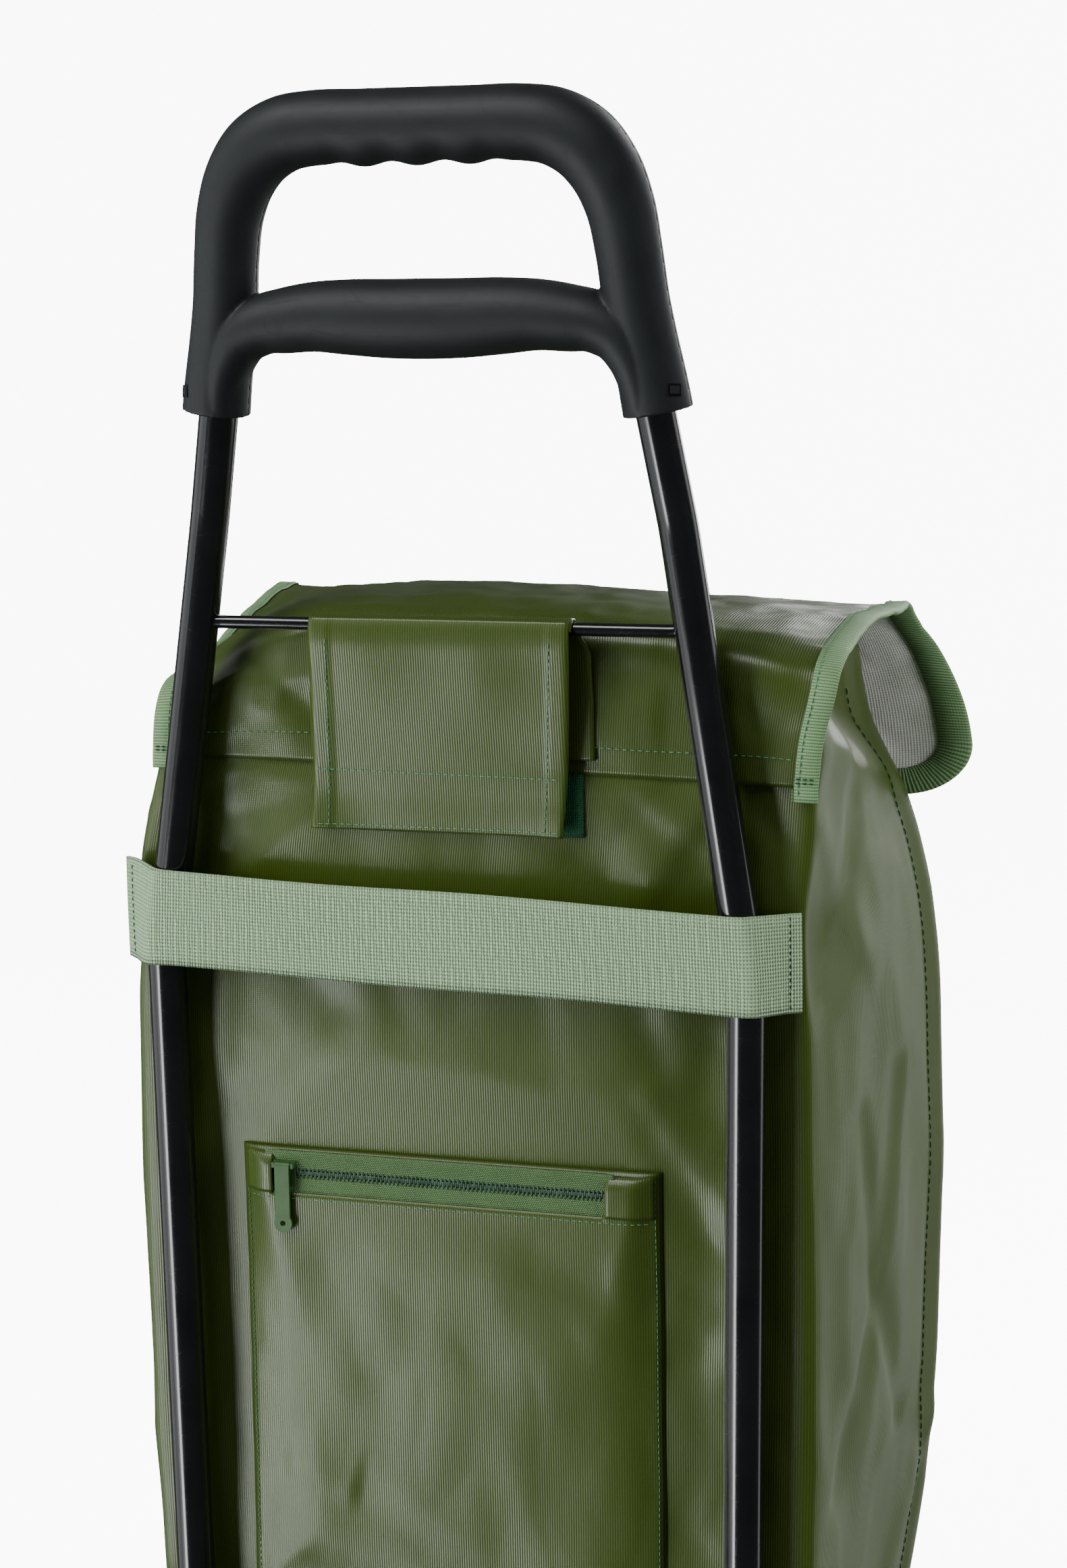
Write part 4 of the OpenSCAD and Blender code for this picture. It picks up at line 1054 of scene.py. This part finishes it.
def over_leaf(xs, zs):
    """Points just above the leaf's outer face, and the normals there."""
    got, nor = [], []
    for p in leaned(xyz(xs, -14.0, zs)):
        co, n = leaf_tree.ray_cast(Vector(p), inward)[:2]
        if co is not None:
            got.append(np.array(co) + np.array(n) * 0.12 * MM)
            nor.append(np.array(n))
    return np.array(got), np.array(nor)


z = np.linspace(508, 606, 60)
hem_in = 9.6
runs = [over_leaf(np.interp(z, [506, 612], [-74.5, -69]) + hem_in, z),
        over_leaf(np.interp(z, [506, 612], [61.5, 69]) - hem_in, z)]
x = np.linspace(-71, 60, 70)
runs += [over_leaf(x, 508.5), over_leaf(x, 536.5 - 0.012 * x)]
leaf_thread = stitches("hanging_strap_thread", runs, THREAD, "hanger_leaf", length=2.8, gap=1.0, width=0.55)
hx, hz = grid(-66, 56, 30, 510, 534, 8)
hp = []
for p in leaned(xyz(hx, 30, hz)).reshape(-1, 3):
    co = leaf_tree.ray_cast(Vector(p), -inward)[0]
    hp.append(np.array(co) if co is not None else p)
hooks2 = mesh_object("hanging_strap_hooks", hp, quads(*hx.shape), [HOOKS], uv=np.stack([hx, hz], -1) * MM)
thicken(hooks2, 1.0, offset=-1)
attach(hooks2, "hanger_leaf")
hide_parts("hanger_hook_tape")
loops2 = loop_patch("back_loop_patch", *grid(-62, 70.5, 34, 505, 538, 10), 9, 1.2)
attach(loops2, "root")
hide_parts("hanger_loop_tape")

# ---------------------------------------------------------------- back pocket and zip
PL, PR, PB, PT = -122.0, 109.0, 85.0, 334.0
ZL, ZR, ZLOW, ZTOP, ZMID = -103.0, 81.0, 310.5, 331.5, 321.0
FACE = 4.0


def pocket_y(x, z):
    """Outer face of the pocket in the leaned frame: flat at the zip, low at its sewn edges."""
    edge = np.minimum(np.minimum(x - PL, PR - x), np.minimum(z - PB, (PT - z) * 1.6 + 3))
    rise = ease(np.clip(edge / (17 + 26 * np.clip((ZLOW - z) / 90, 0, 1)), 0, 1))
    base = 12 + back_surface(x, z) - 1.9
    p = xyz(x, z * 0.6, 300)
    soft = 1.4 * smooth_noise(p, 75, 31) + 0.6 * smooth_noise(p, 28, 32)
    soft += creases(x, z, POCKET_CREASES) + 0.5 * crumple(p, 34, 33)
    deep = np.where(z > ZLOW - 8, 0, soft * np.clip((ZLOW - 8 - z) / 30, 0, 1))
    full = FACE + 1.2 * np.clip((ZLOW - z) / 160, 0, 1) + deep
    return base * (1 - rise) + full * rise


xs = np.unique(np.r_[np.linspace(PL, ZL, 8), np.linspace(ZL, ZR, 70), np.linspace(ZR, PR, 12)])
zs = np.unique(np.r_[np.linspace(PB, ZLOW, 84), np.linspace(ZLOW, ZTOP, 8), np.linspace(ZTOP, PT, 3)])
GX, GZ = np.meshgrid(xs, zs)
GY = pocket_y(GX, GZ)
tuck_in = np.minimum(np.minimum(GX - PL, PR - GX), np.minimum(GZ - PB, PT - GZ + 1.2))
GY = GY + 1.4 * (tuck_in < 0.2)
edge_gap = np.maximum(np.maximum(ZL - GX, GX - ZR), np.maximum(ZLOW - GZ, GZ - ZTOP))
GY -= 0.5 * np.exp(-((edge_gap - 1.2) / 1.1) ** 2)
faces, n_c = [], GX.shape[1]
for i in range(GX.shape[0] - 1):
    for j in range(n_c - 1):
        cx, cz = (GX[i, j] + GX[i, j + 1]) / 2, (GZ[i, j] + GZ[i + 1, j]) / 2
        if not (ZL < cx < ZR and ZLOW < cz < ZTOP):
            faces.append((i * n_c + j, i * n_c + j + 1, (i + 1) * n_c + j + 1, (i + 1) * n_c + j))
pocket = mesh_object("pocket", leaned(np.stack([GX, GY, GZ], -1)), faces, [CANVAS, REVERSE],
                     uv=np.stack([GX, GZ], -1) * MM)
thicken(pocket, 1.2, offset=-1, reverse=1)
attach(pocket, "root")
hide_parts("pocket_panel")


def pocket_face(x, z, lift=0.0):
    return leaned(xyz(x, pocket_y(x, z) - lift, z))


def on_pocket(xs, zs):
    """Points just above the pocket's outer face, and the normals there."""
    xs, zs = np.broadcast_arrays(np.asarray(xs, float), np.asarray(zs, float))
    d = 1.0
    du = pocket_face(xs + d, zs) - pocket_face(xs - d, zs)
    dv = pocket_face(xs, zs + d) - pocket_face(xs, zs - d)
    return pocket_face(xs, zs, 0.12), unit(np.cross(du, dv))


zv = np.linspace(PB + 3, PT - 3, 160)
xh = np.linspace(PL + 3, PR - 3, 150)
beside_zip = np.linspace(ZLOW, ZTOP, 20)
runs = [on_pocket(PL + 3.2, zv), on_pocket(PR - 3.2, zv), on_pocket(xh, PB + 3.2),
        on_pocket(np.linspace(PL + 6, PR - 6, 140), ZLOW - 3.0), on_pocket(ZR + 5.0, beside_zip),
        on_pocket(PL + 8.5, beside_zip)]
pocket_thread = stitches("pocket_thread", runs, THREAD, "root", length=2.5, gap=0.9, width=0.5)
for label, x0, x1 in (("left", PL + 3, ZL + 0.5), ("right", ZR - 0.5, PR - 3)):
    tx, tz = grid(x0, x1, 12, ZLOW - 0.5, ZTOP + 0.5, 12)
    ty = pocket_y(tx, tz) - 0.75 + 0.25 * smooth_noise(xyz(tx, tz, 5), 9, 41)
    tab = mesh_object("zip_end_" + label, leaned(np.stack([tx, ty, tz], -1)), quads(12, 12), [CANVAS],
                      uv=np.stack([tx, tz], -1) * MM)
    thicken(tab, 0.7, offset=-1)
    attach(tab, "root")
    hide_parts("zip_" + label + "_tab")

TEETH_Y, PITCH = 6.0, 2.3
tooth = [(-0.45, 2.9), (0.45, 2.9), (0.52, 0.8), (0.62, -0.5), (0.35, -1.1), (-0.35, -1.1), (-0.62, -0.5),
         (-0.52, 0.8)]
layers = ((TEETH_Y - 0.15, 0.55), (TEETH_Y + 0.15, 1.0), (TEETH_Y + 1.3, 1.0), (TEETH_Y + 1.6, 0.6))
for label, z0, z1 in (("upper", ZMID + 1.6, ZTOP + 1.2), ("lower", ZLOW - 1.2, ZMID - 1.6)):
    tx, tz = grid(ZL - 4, ZR + 4, 120, z0, z1, 10)
    inner = np.clip(1 - np.abs(tz - ZMID) / 10, 0, 1)
    ty = TEETH_Y + 0.8 - 0.9 * (1 - inner) + 0.25 * np.sin(tx * 0.22) * (1 - inner)
    tape = mesh_object("zip_tape_" + label, leaned(np.stack([tx, ty, tz], -1)), quads(10, 120), [TAPE],
                       uv=np.stack([tx + (tz - ZMID) * 0.8, tz], -1) * MM)
    thicken(tape, 0.7, offset=0)
    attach(tape, "root")
    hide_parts("zip_" + label + "_tape")
    sign = 1 if label == "upper" else -1
    verts, faces = [], []
    for k in range(int((ZR - ZL) / PITCH)):
        cx = ZL + 1 + (k + (0.5 if sign > 0 else 0.0)) * PITCH
        b0 = len(verts)
        for yy, grow in layers:
            for rx, rz in tooth:
                verts.append((cx + rx * grow * 1.25, yy, ZMID + sign * (rz * (0.9 + 0.1 * grow))))
        for layer in range(3):
            for j in range(8):
                a0, a1 = b0 + layer * 8 + j, b0 + layer * 8 + (j + 1) % 8
                faces.append((a0, a1, a1 + 8, a0 + 8))
        faces.append(tuple(b0 + j for j in range(7, -1, -1)))
        faces.append(tuple(b0 + 24 + j for j in range(8)))
    coil = mesh_object("zip_coil_" + label, leaned(np.array(verts)), faces, [TEETH])
    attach(coil, "root")
    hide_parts("zip_" + label + "_teeth")
for name in ("zip_slider", "zip_pull"):
    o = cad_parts[name]
    o.data.materials.clear()
    o.data.materials.append(PAINT)
    b = o.modifiers.new("softened", "BEVEL")
    b.width, b.segments, b.limit_method = 0.35 * MM, 3, "ANGLE"

size = {"cad": [list(cad_lo), list(cad_hi)], "visual": [list(v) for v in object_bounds()]}
